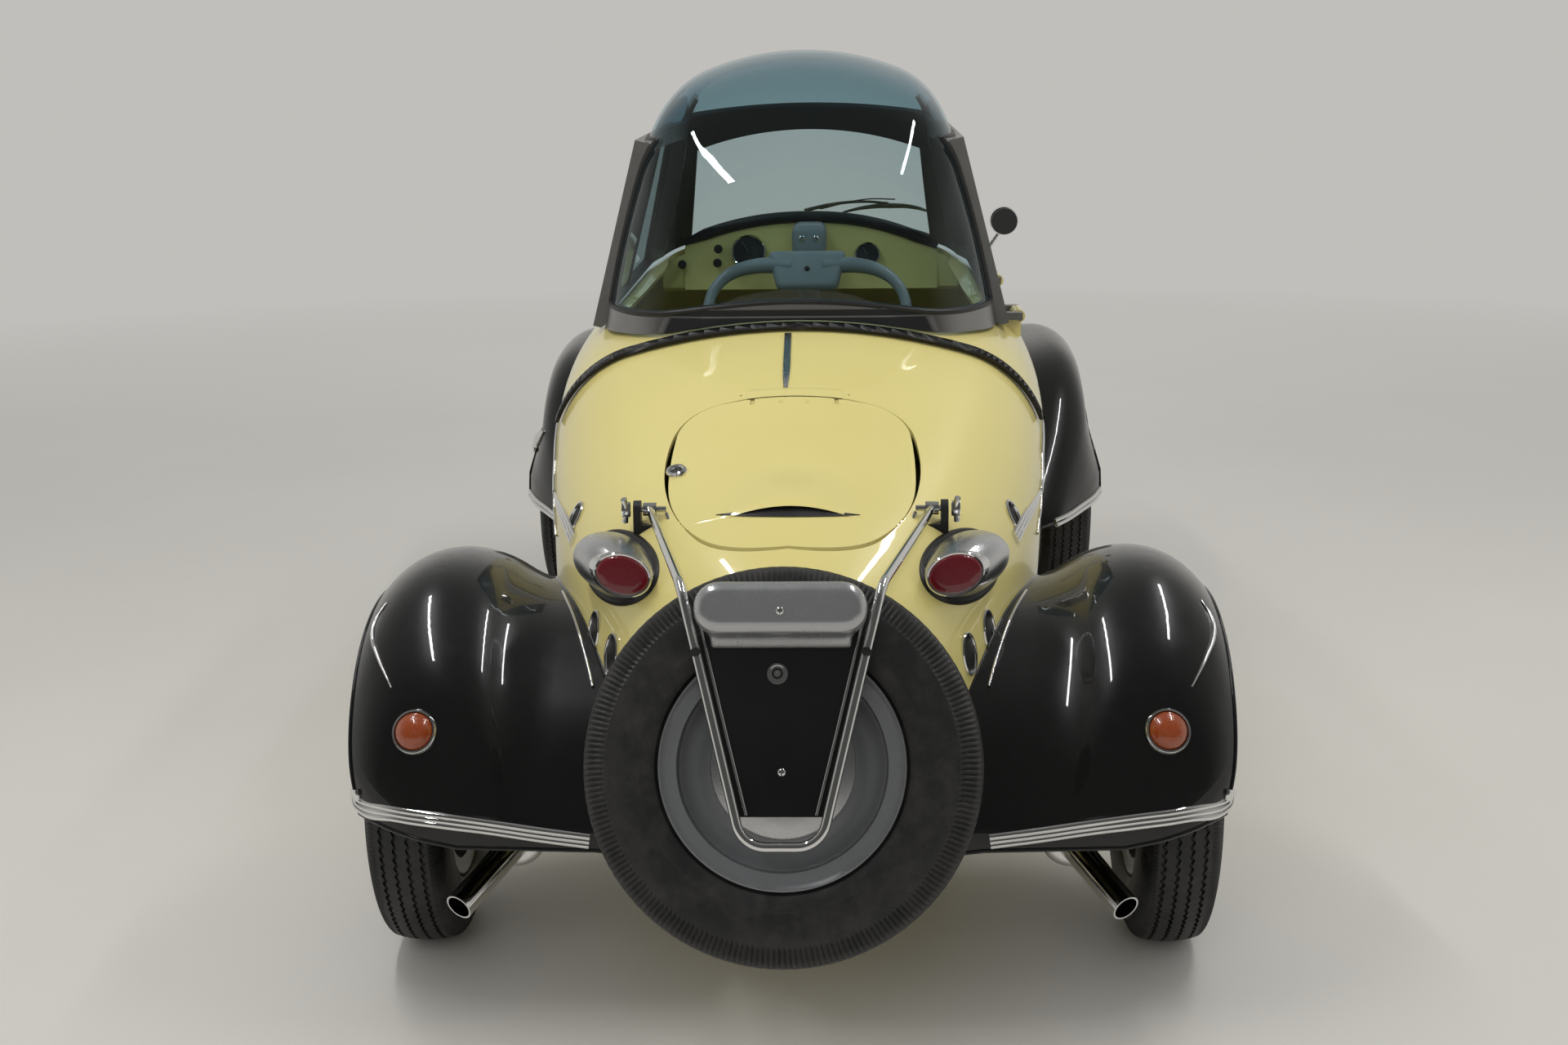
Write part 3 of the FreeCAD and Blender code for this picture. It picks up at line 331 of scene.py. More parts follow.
class Finish:
    """A material built on one main shader."""

    def __init__(self, name, colour, **plain):
        self.material = bpy.data.materials.new(name)
        self.material.use_nodes = True
        self.tree = self.material.node_tree
        self.shader = next(n for n in self.tree.nodes if n.type == "BSDF_PRINCIPLED")
        self.end = next(n for n in self.tree.nodes if n.type == "OUTPUT_MATERIAL")
        self.shader.inputs["Base Color"].default_value = (*colour, 1.0)
        for key, value in plain.items():
            self.shader.inputs[key.replace("_", " ")].default_value = value
        self.place = self.node("TexCoord", {}, {}, "Object")

    def node(self, kind, settings, inputs, out=0):
        """Adds a node: its settings first, then the values or links of its inputs."""
        made = self.tree.nodes.new("ShaderNode" + kind)
        for key, value in settings.items():
            if key == "stops":
                ramp = made.color_ramp
                while len(ramp.elements) < len(value):
                    ramp.elements.new(0.5)
                for element, (position, colour) in zip(ramp.elements, value):
                    element.position = position
                    element.color = (*colour, 1.0)
            else:
                setattr(made, key, value)
        for key, value in inputs.items():
            if isinstance(value, Value):
                self.tree.links.new(value.socket, made.inputs[key])
            else:
                made.inputs[key].default_value = value
        return Value(self, made.outputs[out])

    def noise(self, scale, detail, roughness, stretch=(1, 1, 1)):
        place = self.node("Mapping", {}, {"Vector": self.place, "Scale": stretch})
        return self.node("TexNoise", {}, {"Vector": place, "Scale": scale, "Detail": detail, "Roughness": roughness})

    def spread(self, value, low, high):
        """Stretches a value's range between two levels onto 0 to 1, held at its ends."""
        return self.node("MapRange", {"clamp": True}, {"Value": value, "From Min": low, "From Max": high})

    def blend(self, factor, *colours):
        """A mix of two colours."""
        ends = [colour if isinstance(colour, Value) else (*colour, 1.0) for colour in colours]
        return self.node("Mix", {"data_type": "RGBA"}, {0: factor, 6: ends[0], 7: ends[1]}, 2)

    def feed(self, name, value):
        self.tree.links.new(value.socket, self.shader.inputs[name])

    def plain(self):
        """The main shader alone."""
        return Value(self, self.shader.outputs[0])

    def show(self, value):
        self.tree.links.new(value.socket, self.end.inputs["Surface"])

    def cloud(self, scale, detail, roughness, low, high):
        """Soft patches: noise between two levels."""
        return self.spread(self.noise(scale, detail, roughness), low, high)

    def done(self, mix, first, second, rough=None, height=None, distance=0.0, strength=1.0):
        """Feeds a mix of two colours, a roughness and a relief, and returns the material."""
        self.feed("Base Color", self.blend(mix, first, second))
        if rough:
            self.feed("Roughness", rough)
        if height:
            self.feed("Normal", self.node("Bump", {}, {"Height": height, "Distance": distance, "Strength": strength}))
        return self.material


def gloss_paint(name, colour, shade):
    """Enamel: a clear hard coat over a colour that varies a little, dusted, with a faint orange peel."""
    made = Finish(name, colour, Roughness=0.32, Coat_Weight=0.75, Coat_Roughness=0.035, IOR=1.5,
                  Specular_IOR_Level=0.2)
    dust = made.cloud(38.0, 6.0, 0.65, 0.5, 0.78)
    return made.done(made.cloud(2.1, 4.0, 0.6, 0.35, 0.7), colour, shade, 0.28 + 0.12 * dust,
                     made.noise(210.0, 2.0, 0.5), 0.00006, 0.35)


def plated(name, tint, rough):
    """Bright plate with faint clouds, pits and wiping marks."""
    made = Finish(name, tint, Metallic=1.0, Roughness=rough)
    wiped = made.spread(made.noise(46.0, 5.0, 0.6, (1, 1, 3)), 0.45, 0.8)
    pits = made.cloud(900.0, 2.0, 0.7, 0.68, 0.78)
    return made.done(pits * 0.5, tint, (0.3, 0.27, 0.24), rough + 0.07 * wiped + 0.25 * pits)


def cabin_side(made):
    """1 on the frame's faces that look into the cabin and on two bands of its rear rail, 0 elsewhere."""
    from_axis = made.node("VectorMath", {"operation": "SUBTRACT"}, {0: made.place, 1: (0.0, 0.0, 0.75)})
    flat_axis = made.node("VectorMath", {"operation": "MULTIPLY"}, {0: from_axis, 1: (1.0, 0.0, 1.0)})
    facing = made.node("NewGeometry", {}, {}, "Normal")
    outward = made.node("VectorMath", {"operation": "DOT_PRODUCT"}, {0: flat_axis, 1: facing}, "Value")
    sideways, back, rise = (made.node("SeparateXYZ", {}, {0: made.place}, axis) for axis in "XYZ")
    sideways = sideways.math("ABSOLUTE")
    band = (made.spread(rise, 0.8485, 0.847) * made.spread(back, 0.455, 0.46) * made.spread(sideways, 0.3, 0.285)
            * (1.0 - made.spread(rise, 0.8345, 0.835) * made.spread(rise, 0.8375, 0.837)))
    return made.spread(outward, 0.01, -0.01).math("MAXIMUM", band)


def brushed(name, tint, rough, along, lining=None):
    """Brushed metal: fine lines along the piece, and a dark lining on the cabin side."""
    made = Finish(name, tint, Metallic=1.0, Roughness=rough)
    lines = made.noise(160.0, 4.0, 0.7, along)
    stain = made.cloud(9.0, 5.0, 0.65, 0.45, 0.75)
    colours = tint, tuple(0.62 * c for c in tint)
    worn = rough + 0.16 * lines + 0.08 * stain
    if not lining:
        return made.done(stain * 0.45, *colours, worn, lines, 0.00012, 0.5)
    inside = cabin_side(made)
    made.feed("Metallic", 1.0 - inside)
    return made.done(inside, made.blend(stain * 0.45, *colours), lining, worn + 0.1 * inside, lines, 0.00012, 0.5)


def rubber(name, tone, rough, dusty):
    """Black rubber with a brownish bloom of dust and a fine pore."""
    made = Finish(name, (tone, tone, tone), Roughness=rough)
    bloom = made.cloud(24.0, 7.0, 0.7, 0.42, 0.78) * dusty
    return made.done(bloom, (tone, tone, tone * 0.98), (0.115, 0.105, 0.092), rough + 0.2 * bloom,
                     made.noise(620.0, 3.0, 0.6), 0.00025, 0.6)


def satin(name, colour, rough, metallic, wear):
    """Satin paint with rubbed and dusty patches."""
    made = Finish(name, colour, Roughness=rough, Metallic=metallic)
    patch = made.cloud(17.0, 6.0, 0.62, 0.5, 0.8)
    mix = patch * 0.35 + made.cloud(260.0, 3.0, 0.6, 0.64, 0.74) * 0.3
    return made.done(mix, colour, wear, rough + 0.18 * patch, made.noise(330.0, 3.0, 0.55), 0.00015, 0.5)


def clear(name, tint, edge_tint, gloss=0.02):
    """Thin clear sheet: tinted see-through, deeper at its edges, with a gloss that grows at low angles."""
    made = Finish(name, (0.8, 0.86, 0.9), Roughness=gloss, Metallic=1.0)
    smear = made.cloud(5.0, 5.0, 0.6, 0.5, 0.85)
    turned = made.node("LayerWeight", {}, {"Blend": 0.5}, "Facing")
    film = made.node("BsdfTransparent", {}, {"Color": made.blend(turned ** 1.6, tint, edge_tint)})
    made.feed("Roughness", gloss + 0.04 * smear)
    outer = 1.0 - made.node("NewGeometry", {}, {}, "Backfacing")
    factor = ((0.045 + 0.012 * smear) + (turned ** 5.0) * 0.75) * outer
    made.show(made.node("MixShader", {}, {0: factor, 1: film, 2: made.plain()}))
    return made.material


def lens(name, colour, deep, prisms):
    """Moulded coloured lens with a fine prism pattern behind its gloss."""
    made = Finish(name, colour, Roughness=0.22, Coat_Weight=1.0, Coat_Roughness=0.02, IOR=1.49)
    prism = made.node("TexVoronoi", {"feature": "F1"}, {"Vector": made.place, "Scale": prisms})
    return made.done(made.spread(prism, 0.1, 0.75), colour, deep, None, prism, 0.00045, 0.4)


def vinyl(name, colour):
    """Grained seat covering."""
    made = Finish(name, colour, Roughness=0.52, Sheen_Weight=0.15)
    grain = made.node("TexVoronoi", {"feature": "SMOOTH_F1"}, {"Vector": made.place, "Scale": 420.0})
    tone = made.cloud(8.0, 5.0, 0.6, 0.35, 0.75)
    return made.done(tone, colour, tuple(1.7 * c for c in colour), 0.42 + 0.22 * tone, grain, 0.0005, 0.7)


PAINT = gloss_paint("body_paint", (0.68, 0.595, 0.23), (0.645, 0.555, 0.205))
FENDER = gloss_paint("fender_paint", (0.0035, 0.0037, 0.004), (0.006, 0.006, 0.0055))
CHROME = plated("chrome", (0.8, 0.8, 0.79), 0.06)
ALLOY = brushed("frame_aluminium", (0.3, 0.295, 0.285), 0.22, (1, 60, 1), (0.01, 0.011, 0.012))
SEAL = rubber("seal_rubber", 0.012, 0.42, 0.12)
TYRE = rubber("tyre_rubber", 0.011, 0.52, 0.22)
RIM = satin("rim_paint", (0.2, 0.205, 0.21), 0.36, 0.55, (0.11, 0.105, 0.095))
GREY = satin("steering_grey", (0.19, 0.22, 0.23), 0.32, 0.0, (0.24, 0.26, 0.27))
STEEL = satin("black_steel", (0.012, 0.012, 0.012), 0.42, 0.0, (0.06, 0.055, 0.05))
CAST = satin("cast_metal", (0.13, 0.13, 0.13), 0.6, 0.7, (0.05, 0.045, 0.04))
PLATE = gloss_paint("plate_black", (0.004, 0.004, 0.0045), (0.01, 0.01, 0.011))
SILVER = satin("lamp_grey", (0.46, 0.465, 0.47), 0.24, 0.8, (0.36, 0.36, 0.35))
POD = brushed("lamp_silver", (0.6, 0.605, 0.61), 0.2, (1, 1, 24))
DOME = clear("dome_glass", (0.775, 0.85, 0.865), (0.45, 0.62, 0.69))
SCREEN = clear("screen_glass", (0.965, 0.975, 0.97), (0.8, 0.86, 0.85))
AMBER = lens("amber_lens", (0.3, 0.06, 0.012), (0.22, 0.038, 0.007), 520.0)
RED = lens("red_lens", (0.125, 0.004, 0.01), (0.112, 0.0035, 0.009), 620.0)
HEADGLASS = lens("headlamp_glass", (0.5, 0.52, 0.53), (0.34, 0.355, 0.36), 420.0)
DIAL = satin("dial_card", (0.02, 0.02, 0.022), 0.3, 0.0, (0.1, 0.1, 0.1))
FABRIC = vinyl("trim_fabric", (0.03, 0.031, 0.034))

# The slots of finishes that have another name
SLOTS = {"tyre_rubber": "tyre", "lamp_silver": "lamp_grey", "red_lens": "lens_red", "headlamp_glass": "screen_glass",
         "dial_card": "black_steel", "plate_black": "black_steel"}

# What each node is finished with, and for the others a word in their names
NODE_FINISH = (
    (PAINT, "tub tail_cover tail_hatch dash"), (SEAL, "body_seal"), (ALLOY, "canopy_frame"), (DOME, "canopy_dome"),
    (SCREEN, "windscreen side_windows"), (GREY, "steering_column steering_yoke"), (CAST, "engine_block"),
    (CHROME, "mirror exhaust headlamps guard_frame"), (SILVER, "tail_lamps lamp_cover"), (AMBER, "turn_lamps"),
    (FABRIC, "front_seat_cushion front_seat_back rear_seat_cushion rear_seat_back"), (PLATE, "guard_plate"),
    (STEEL, "wiper seat_frame front_arms rear_axle spare_bracket guard_brackets"),
)
WORD_FINISH = (("fender", FENDER), ("tyre", TYRE), ("rim", RIM), ("knuckle", STEEL))


def dress_nodes():
    """Gives every node its finish and smooth shading between its sharp edges."""
    finishes = {name: finish for finish, names in NODE_FINISH for name in names.split()}
    for name, node in nodes.items():
        if name not in finishes:
            finishes[name] = next(finish for word, finish in WORD_FINISH if word in name)
        node.data.materials.clear()
        node.data.materials.append(finishes[name])
        for polygon in node.data.polygons:
            polygon.use_smooth = True
        node.modifiers.new("Weld", "WELD").merge_threshold = WELD
        node.modifiers.new("EdgeSplit", "EDGE_SPLIT").split_angle = SPLIT


# Pieces with their finish

def given(piece, finish, body="body", stands_for=None, slot=None):
    """Finishes a piece, and lets it ride with a body and stand for a node."""
    piece.data.materials.clear()
    piece.data.materials.append(finish)
    plain = finish.name.split(".")[0]
    slot or SLOTS.get(plain, plain)
    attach(piece, body)
    if stands_for:
        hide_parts(stands_for)
    return piece


def paired(left, pattern, finish, stands_for=None):
    """Finishes a piece of the left side and its mirror image, named by a pattern."""
    left.name = pattern % "left"
    for piece in (left, mirror_of(left, pattern % "right")):
        given(piece, finish, "body", stands_for)


def frame_at(place, facing):
    """A matrix whose X points along facing and whose Z leans upward."""
    x = facing.normalized()
    y = UP.cross(x).normalized()
    return placed(place, x, y, x.cross(y))


def turned(name, profile, spot, finish, body="body", steps=40, angle=35, slot=None):
    """A lathed piece, set and finished."""
    return given(smooth(put(lathe(name, profile, steps), spot), angle), finish, body, None, slot)


def along(px, py, y):
    """The point on a pixel's line of sight at a place along the car."""
    ray = sight(px, py)
    return EYE + ray * ((y - EYE.y) / ray.y)


def ribbed(name, pixels, tree, spacing, radius, taper=None, lift=0.0015):
    """Parallel beads along a surface: the ridges of a fluted strip."""
    spots = [seen(px, py, tree) for px, py in pixels]
    beads = []
    for offset in spacing:
        points = []
        for place, (point, normal) in enumerate(spots):
            run = spots[min(place + 1, len(spots) - 1)][0] - spots[max(place - 1, 0)][0]
            width = taper[place] if taper else 1.0
            points.append(point + normal * lift + run.normalized().cross(normal) * offset * width)
        beads.append(sweep(name, points, radius, taper=taper, fine=8))
    return join(name, beads)


def edging(name, node, radius, keep=None):
    """A round bead along the sharp edges of a node's solid, where keep holds for a corner."""
    piece = welded_copy(node, name)

    def only_sharp():
        bpy.ops.mesh.select_all(action="DESELECT")
        bpy.ops.mesh.select_mode(type="EDGE")
        bpy.ops.mesh.edges_select_sharp(sharpness=SHARP)
        bpy.ops.mesh.select_all(action="INVERT")
        bpy.ops.mesh.delete(type="EDGE")
        bpy.ops.mesh.select_mode(type="VERT")

    edited(piece, only_sharp)
    if keep:
        for corner in piece.data.vertices:
            corner.select = not keep(corner.co)
        bpy.ops.object.mode_set(mode="EDIT")
        bpy.ops.mesh.delete(type="VERT")
        bpy.ops.object.mode_set(mode="OBJECT")
    bpy.ops.object.convert(target="CURVE")
    line = bpy.context.object
    line.data.bevel_depth = radius
    line.data.bevel_resolution = 2
    line.data.use_fill_caps = True
    return smooth(to_mesh(line), 60)


# Wheels

SPARE = Vector((0, 1.355, 0.42))
SPARE_LEAN = radians(19.5)
AXLE_Z = 0.237
AXLES = (("front", -1.02, 1.11), ("rear", 0.87, 1.04))
TYRE_STEPS = 432
TREAD_RADIUS = 0.2285
SHOULDER_RADIUS = 0.2122
ZIGZAG = 0.0016
NOTCH = 0.0026
RIM_HOLES = 6
RIM_HOLE_RADIUS = 0.0095
RIM_HOLE_CIRCLE = 0.076
SPARE_NUT_CIRCLE = 0.046

# Half of the tyre's section from the middle of the tread to the bead: place along the axle, radius
TYRE_HALF = (
    (0, 236.9), (6.8, 236.7), (7.6, 231.6), (10.4, 231.4), (11.2, 236.3), (18, 235.6), (24.6, 234.6),
    (25.4, 229.6), (28.4, 229.2), (29.2, 233.7), (35, 232.4), (40.4, 230.7), (43.2, 228.8), (46.6, 224.6),
    (49.2, 219.4), (50.8, 215.0), (51.0, 212.6), (53.2, 207), (54.9, 200), (55.8, 191), (55.9, 181),
    (55.2, 172), (54.6, 168.4), (55.0, 167), (54.2, 164.4), (52.6, 158), (50.2, 153), (46.8, 149.4),
    (41.6, 147.6), (39.6, 146.4), (38.4, 141), (37.6, 134), (37.4, 128),
)
RIM_SECTION = (
    (-46, 145), (-43, 144.6), (-40, 142.5), (-38.3, 139.5), (-38, 136), (-38, 127), (-20, 126), (-14, 107),
    (-11, 105), (3, 105), (6, 107), (12, 126), (38, 127), (38, 136), (38.3, 139.5), (40, 142.5), (43, 144.6),
    (46, 145), (46.6, 143), (43.6, 140), (42.2, 136), (42, 124), (17, 122.5), (13.5, 119), (9.6, 104),
    (10.4, 98), (13, 91), (14.4, 87), (14.4, 64), (12, 58), (12, 16), (8, 16), (8, 84), (4, 92), (-2, 99),
    (-17, 102), (-22, 120), (-42, 122), (-42, 136), (-43.6, 140), (-46.6, 143),
)


def tyre_piece():
    """A tyre about X: five ribs between zig-zag grooves, and notched shoulders."""
    section = [(-x, r) for x, r in reversed(TYRE_HALF[1:])] + list(TYRE_HALF)
    piece = lathe("tyre_form", section + section[:1], TYRE_STEPS)

    def tread(co):
        radius = hypot(co.y, co.z)
        step = round(atan2(co.y, co.z) / tau * TYRE_STEPS)
        x = co.x
        if radius > TREAD_RADIUS and abs(x) < 0.034:
            x += ZIGZAG * (abs(step % 4 - 2) - 1)
        elif radius > SHOULDER_RADIUS and 0.0395 < abs(x) < 0.0512 and step % 2:
            scale = 1.0 - NOTCH / radius
            return Vector((x * 0.965, co.y * scale, co.z * scale))
        return Vector((x, co.y, co.z))

    return smooth(move_corners(piece, tread), 26)


def rim_piece():
    """A pressed wheel about X with a rolled flange, a well, and vent holes round its disc."""
    piece = lathe("rim_form", RIM_SECTION + RIM_SECTION[:1], 120)
    cutters = []
    for turn in range(RIM_HOLES):
        angle = tau * (turn + 0.5) / RIM_HOLES
        place = (0, RIM_HOLE_CIRCLE * cos(angle), RIM_HOLE_CIRCLE * sin(angle))
        cutters.append(rod("rim_cutter", 24, RIM_HOLE_RADIUS, 0.06, place))
    return smooth(cut(piece, join("rim_cutter", cutters)), 32)


def nut_piece(name, radius, height):
    """A six-sided nut with turned corners, about X."""
    piece = rod(name, 6, radius, height, (height / 2, 0, 0))
    return smooth(modify(piece, "BEVEL", width=0.12 * radius, segments=2), 40)


def wheels():
    hub = smooth(lathe("hub_cap", [(11, 60), (15, 61.5), (17, 60), (17.5, 56), (20, 52), (26, 46), (31, 36),
                                   (34, 24), (35.5, 12), (36, 0)], 72), 40)
    spare = Matrix.Translation(SPARE) @ Matrix.Rotation(SPARE_LEAN, 4, "X") @ Matrix.Rotation(pi / 2, 4, "Z")
    for form, word, finish in ((tyre_piece(), "tyre", TYRE), (rim_piece(), "rim", RIM), (hub, "hub_cap", CHROME)):
        for end, y, track in AXLES:
            for side, name in SIDES:
                label = "%s_piece_%s_%s" % (word, end, name)
                piece = copy_of(form, label) if side > 0 else mirror_of(form, label)
                put(piece, Matrix.Translation((side * track / 2, y, AXLE_Z)))
                stands_for = None if form == hub else "%s_%s_%s" % (word, end, name)
                given(piece, finish, "wheel_%s_%s" % (end, name), stands_for)
        if form != hub:
            given(put(copy_of(form, "spare_%s_piece" % word), spare), finish, "body", "spare_" + word)
        bpy.data.objects.remove(form)
    for angle in (90, 210, 330):
        turn = radians(angle)
        nut = put(nut_piece("spare_nut_%d" % angle, 0.011, 0.012), spare @ Matrix.Translation(
            (0.0135, SPARE_NUT_CIRCLE * cos(turn), SPARE_NUT_CIRCLE * sin(turn))))
        given(nut, CHROME)


# Lamps

BOOT_AT = Vector((0.231, 0.985, 0.57))
BOOT_OUT = Vector((0.682, 0.443, 0.582)).normalized()
BOOT_RUN = Vector((0.5, -0.863, 0.07))
BOOT_SIZE = (0.093, 0.042)
LENS_AT = Vector((0.2155, 1.078, 0.582))
LENS_OUT = Vector((0.101, 0.98, 0.172)).normalized()
LENS_RUN = Vector((0.966, 0.0, 0.259))
LENS_SIZE = (0.038, 0.0275)
BOOT_STEP = 0.03

# How much a ring past the outline grows, how far up a boot follows the tail's form, and how far that is looked for
RING_GROWTH = 0.055
SEAT_HEIGHT = 0.6
SEAT_REACH = 0.05


def boot(name, profile, tree):
    """A lamp housing of oval rings, as (height, width), from a base on the tail to a lens that faces back.

    Height runs from 0 at the base to 1 at the lens, and width 1 is the housing's own outline.
    """
    reach = LENS_AT - BOOT_AT
    rise = reach.dot(BOOT_OUT)
    slide = reach - BOOT_OUT * rise
    piece = lathe(name, [(h / MM, r / MM) for h, r in profile], 80)

    def oval(h, a, b):
        share = min(max(h, 0.0), 1.0)
        spread = sqrt(1.0 - share ** 2)
        axis = (BOOT_OUT * spread + LENS_OUT * (1.0 - spread)).normalized()
        run = BOOT_RUN * spread + LENS_RUN * (1.0 - spread)
        long_way = (run - axis * run.dot(axis)).normalized()
        centre = BOOT_AT + BOOT_OUT * rise * share + slide * (1.0 - spread)
        centre += BOOT_OUT * BOOT_STEP * min(h, 0.0)
        centre += LENS_OUT * BOOT_STEP * max(h - 1.0, 0.0)
        width = hypot(a, b)
        sizes = [spread * low + (1.0 - spread) * high for low, high in zip(BOOT_SIZE, LENS_SIZE)]
        if width > 0.9:
            a, b = a / width, b / width
            sizes = [size + RING_GROWTH * (width - 1.0) for size in sizes]
        return centre + long_way * a * sizes[0] + axis.cross(long_way) * b * sizes[1]

    def seated(co):
        place = oval(co.x, co.y, co.z)
        width = hypot(co.y, co.z)
        if width > 0.5 and co.x < SEAT_HEIGHT:
            foot = oval(0.0, co.y / width, co.z / width)
            hit = tree.ray_cast(foot + BOOT_OUT * SEAT_REACH, -BOOT_OUT)
            if hit[0] is not None:
                place -= BOOT_OUT * (hit[3] - SEAT_REACH) * min(1.0, 1.0 - co.x / SEAT_HEIGHT)
        return place

    return smooth(edited(move_corners(piece, seated), face_out), 40)


# Lamps, each profile as (place, radius): in shares of the boot for the tail lamps, in millimetres for the others
TAIL_LAMPS = (
    ("tail_lamp_boot_%s", [(-0.3, 0.0), (-0.3, 1.0)] + [(h, 1.0) for h in (0.0, 0.12, 0.24, 0.36, 0.48, 0.6, 0.7,
                                                                           0.79, 0.87, 0.93, 0.97, 1.0)]
     + [(1.03, 0.96), (1.03, 0.0)], POD, "tail_lamps"),
    ("tail_lamp_gasket_%s", [(-0.3, 0.95), (-0.3, 1.12), (0.0, 1.15), (0.06, 1.14), (0.12, 1.09), (0.1, 0.99),
                             (-0.3, 0.95)], SEAL),
    ("tail_lamp_ring_%s", [(0.99, 0.97), (1.0, 1.015), (1.07, 1.02), (1.12, 0.99), (1.1, 0.955), (0.99, 0.97)],
     CHROME),
    ("tail_lamp_lens_%s", [(1.0, 0.0), (1.0, 0.96), (1.1, 0.955), (1.17, 0.92), (1.21, 0.82), (1.23, 0.6),
                           (1.24, 0.3), (1.24, 0.0)], RED),
)
ROUND_LAMPS = (
    ((0.486, 1.124, 0.382), (0.1, 0.86, 0.5), 64, (
        ("turn_lamp_ring_%s", [(-16, 24), (-16, 29), (8, 30.6), (11.5, 30), (13.6, 28.4), (14, 26), (10, 25),
                               (-16, 24)], CHROME),
        ("turn_lamp_lens_%s", [(-20, 0), (-20, 25), (11, 25), (14, 24.4), (18, 22), (22, 18), (25, 12.6),
                               (26.6, 6.6), (27, 0)], AMBER, "turn_lamps"))),
    ((0.488, -1.352, 0.458), (0, -1, 0), 96, (
        ("headlamp_bezel_%s", [(-40, 79.5), (-6, 80), (4, 78.6), (9, 74.6), (10, 70.6), (6, 69.6), (-6, 70),
                               (-40, 74), (-40, 79.5)], CHROME),
        ("headlamp_lens_%s", [(-4, 0), (-4, 71), (5, 70.4), (11, 62), (16.4, 48), (20, 30), (21.6, 14), (22, 0)],
         HEADGLASS))),
)


def lamps():
    """Tail lamps on their boots, amber domes behind the rear fenders, and headlamps."""
    tree = tree_of("tail_cover")
    for pattern, profile, *finish in TAIL_LAMPS:
        paired(boot(pattern, profile, tree), pattern, *finish)
    for place, facing, steps, parts in ROUND_LAMPS:
        spot = frame_at(place, Vector(facing))
        for pattern, profile, *finish in parts:
            paired(put(smooth(lathe(pattern, profile, steps), 35), spot), pattern, *finish)


# Trims, in pixels of the photograph along what carries them

REAR_FENDER_TRIM = ((410, 966), (418, 976), (440, 984), (490, 998), (545, 1006), (600, 1013), (660, 1022),
                    (722, 1030))
SIDE_SPEAR = ((678, 604), (686, 622), (695, 641), (703, 661))
OUTER_SPEAR = ((474, 739), (461, 760), (457, 778), (464, 806), (480, 843))

# Name, pixels, nodes that carry it, places across, radius, taper
TRIMS = (
    ("rear_fender_trim_%s", REAR_FENDER_TRIM, ("rear_fender_left",), (-0.006, 0.0, 0.006), 0.0048, None),
    ("front_fender_trim_%s", ((630, 604), (637, 614), (648, 625), (661, 635), (676, 643)), ("front_fender_left",),
     (-0.005, 0.005), 0.0048, None),
    ("fender_bead_%s", ((689, 726), (696, 741), (703, 758), (710, 780), (717, 805), (726, 842)),
     ("tail_cover", "rear_fender_left"), (0.0,), 0.0022, None),
    ("side_trim_%s", ((684, 520), (676, 540), (672, 564), (673, 585), (678, 604)), ("tub", "tail_cover"),
     (-0.0028, 0.0028), 0.0026, None),
    ("side_spear_%s", SIDE_SPEAR, ("tub", "tail_cover"), (-0.0062, 0.0, 0.0062), 0.0036, (0.42, 0.7, 1.0, 1.0)),
    ("side_line_%s", ((677, 606), (679, 622), (680, 640), (682, 656)), ("tub", "tail_cover"), (0.0,), 0.0022, None),
    ("outer_spear_%s", OUTER_SPEAR, ("rear_fender_left",), (0.0,), 0.0024, (0.4, 1.0, 1.2, 1.0, 0.4)),
)
TAIL_STRIP = ((965, 410), (964, 432), (963, 455), (962, 476))

# Vents in the tail's left side: place, facing, half height and half width
PORTS = (
    ((0.2647, 0.997, 0.4827), (0.891, 0.428, 0.153), 26, 16),
    ((0.2354, 1.0586, 0.4684), (0.86, 0.483, 0.162), 26, 16),
    ((0.3122, 0.8, 0.5942), (0.814, 0.357, 0.459), 22, 14),
)
# A port's profiles from the outline of its vent, and the radius they are turned at before they are drawn oval
PORT_PARTS = (
    ("port_ring_%%s_%d", ((-3, -0.5), (-3, 3.2), (1.6, 3.4), (3.0, 2.2), (2.8, 0.2), (0.6, -1.0), (-3, -0.5)),
     CHROME),
    # A black disc a little inside the vent: painted shade for the vent's dark inside.
    ("port_mouth_shade_%%s_%d", ((-1.2, -99), (-1.2, 0.5)), STEEL),
)
PORT_TURNED = 100.0
FENDER_LIP = 0.0028


def port_oval(co, tall, wide):
    """Where a turned corner of a port goes on its oval outline."""
    radius = hypot(co.y, co.z)
    if radius < 0.05:
        return Vector((co.x, 0, 0))
    turn = atan2(co.y, co.z)
    more = radius - PORT_TURNED * MM
    return Vector((co.x, (wide * MM + more) * sin(turn), (tall * MM + more) * cos(turn)))


def trims():
    for pattern, pixels, carriers, *form in TRIMS:
        paired(ribbed(pattern, pixels, tree_of(*carriers), *form), pattern, CHROME)
    given(ribbed("tail_strip", TAIL_STRIP, tree_of("tail_cover"), (-0.0034, 0.0, 0.0034), 0.0022), CHROME)
    for place, (centre, normal, tall, wide) in enumerate(PORTS):
        spot = frame_at(centre, Vector(normal))
        for pattern, profile, finish in PORT_PARTS:
            form = lathe("port", [(x, PORT_TURNED + r) for x, r in profile], 56)
            move_corners(form, lambda co: port_oval(co, tall, wide))
            paired(smooth(put(form, spot), 40), pattern % place, finish)
    for _, name in SIDES:
        for end in ("front", "rear"):
            given(edging("%s_fender_lip_%s" % (end, name), "%s_fender_%s" % (end, name), FENDER_LIP), FENDER)


# The canopy's gaskets: name, node, radius
GASKETS = (
    ("dome_gasket", "canopy_dome", 0.005, lambda co: co.z < 1.165),
    ("screen_gasket", "windscreen", 0.005, None),
    ("pane_channel", "side_windows", 0.0034, None),
)
SEAL_MIDDLE = Vector((0, 0.492, 0.44))
SEAL_GROWTH = Vector((1.0075, 1.35, 1.0075))


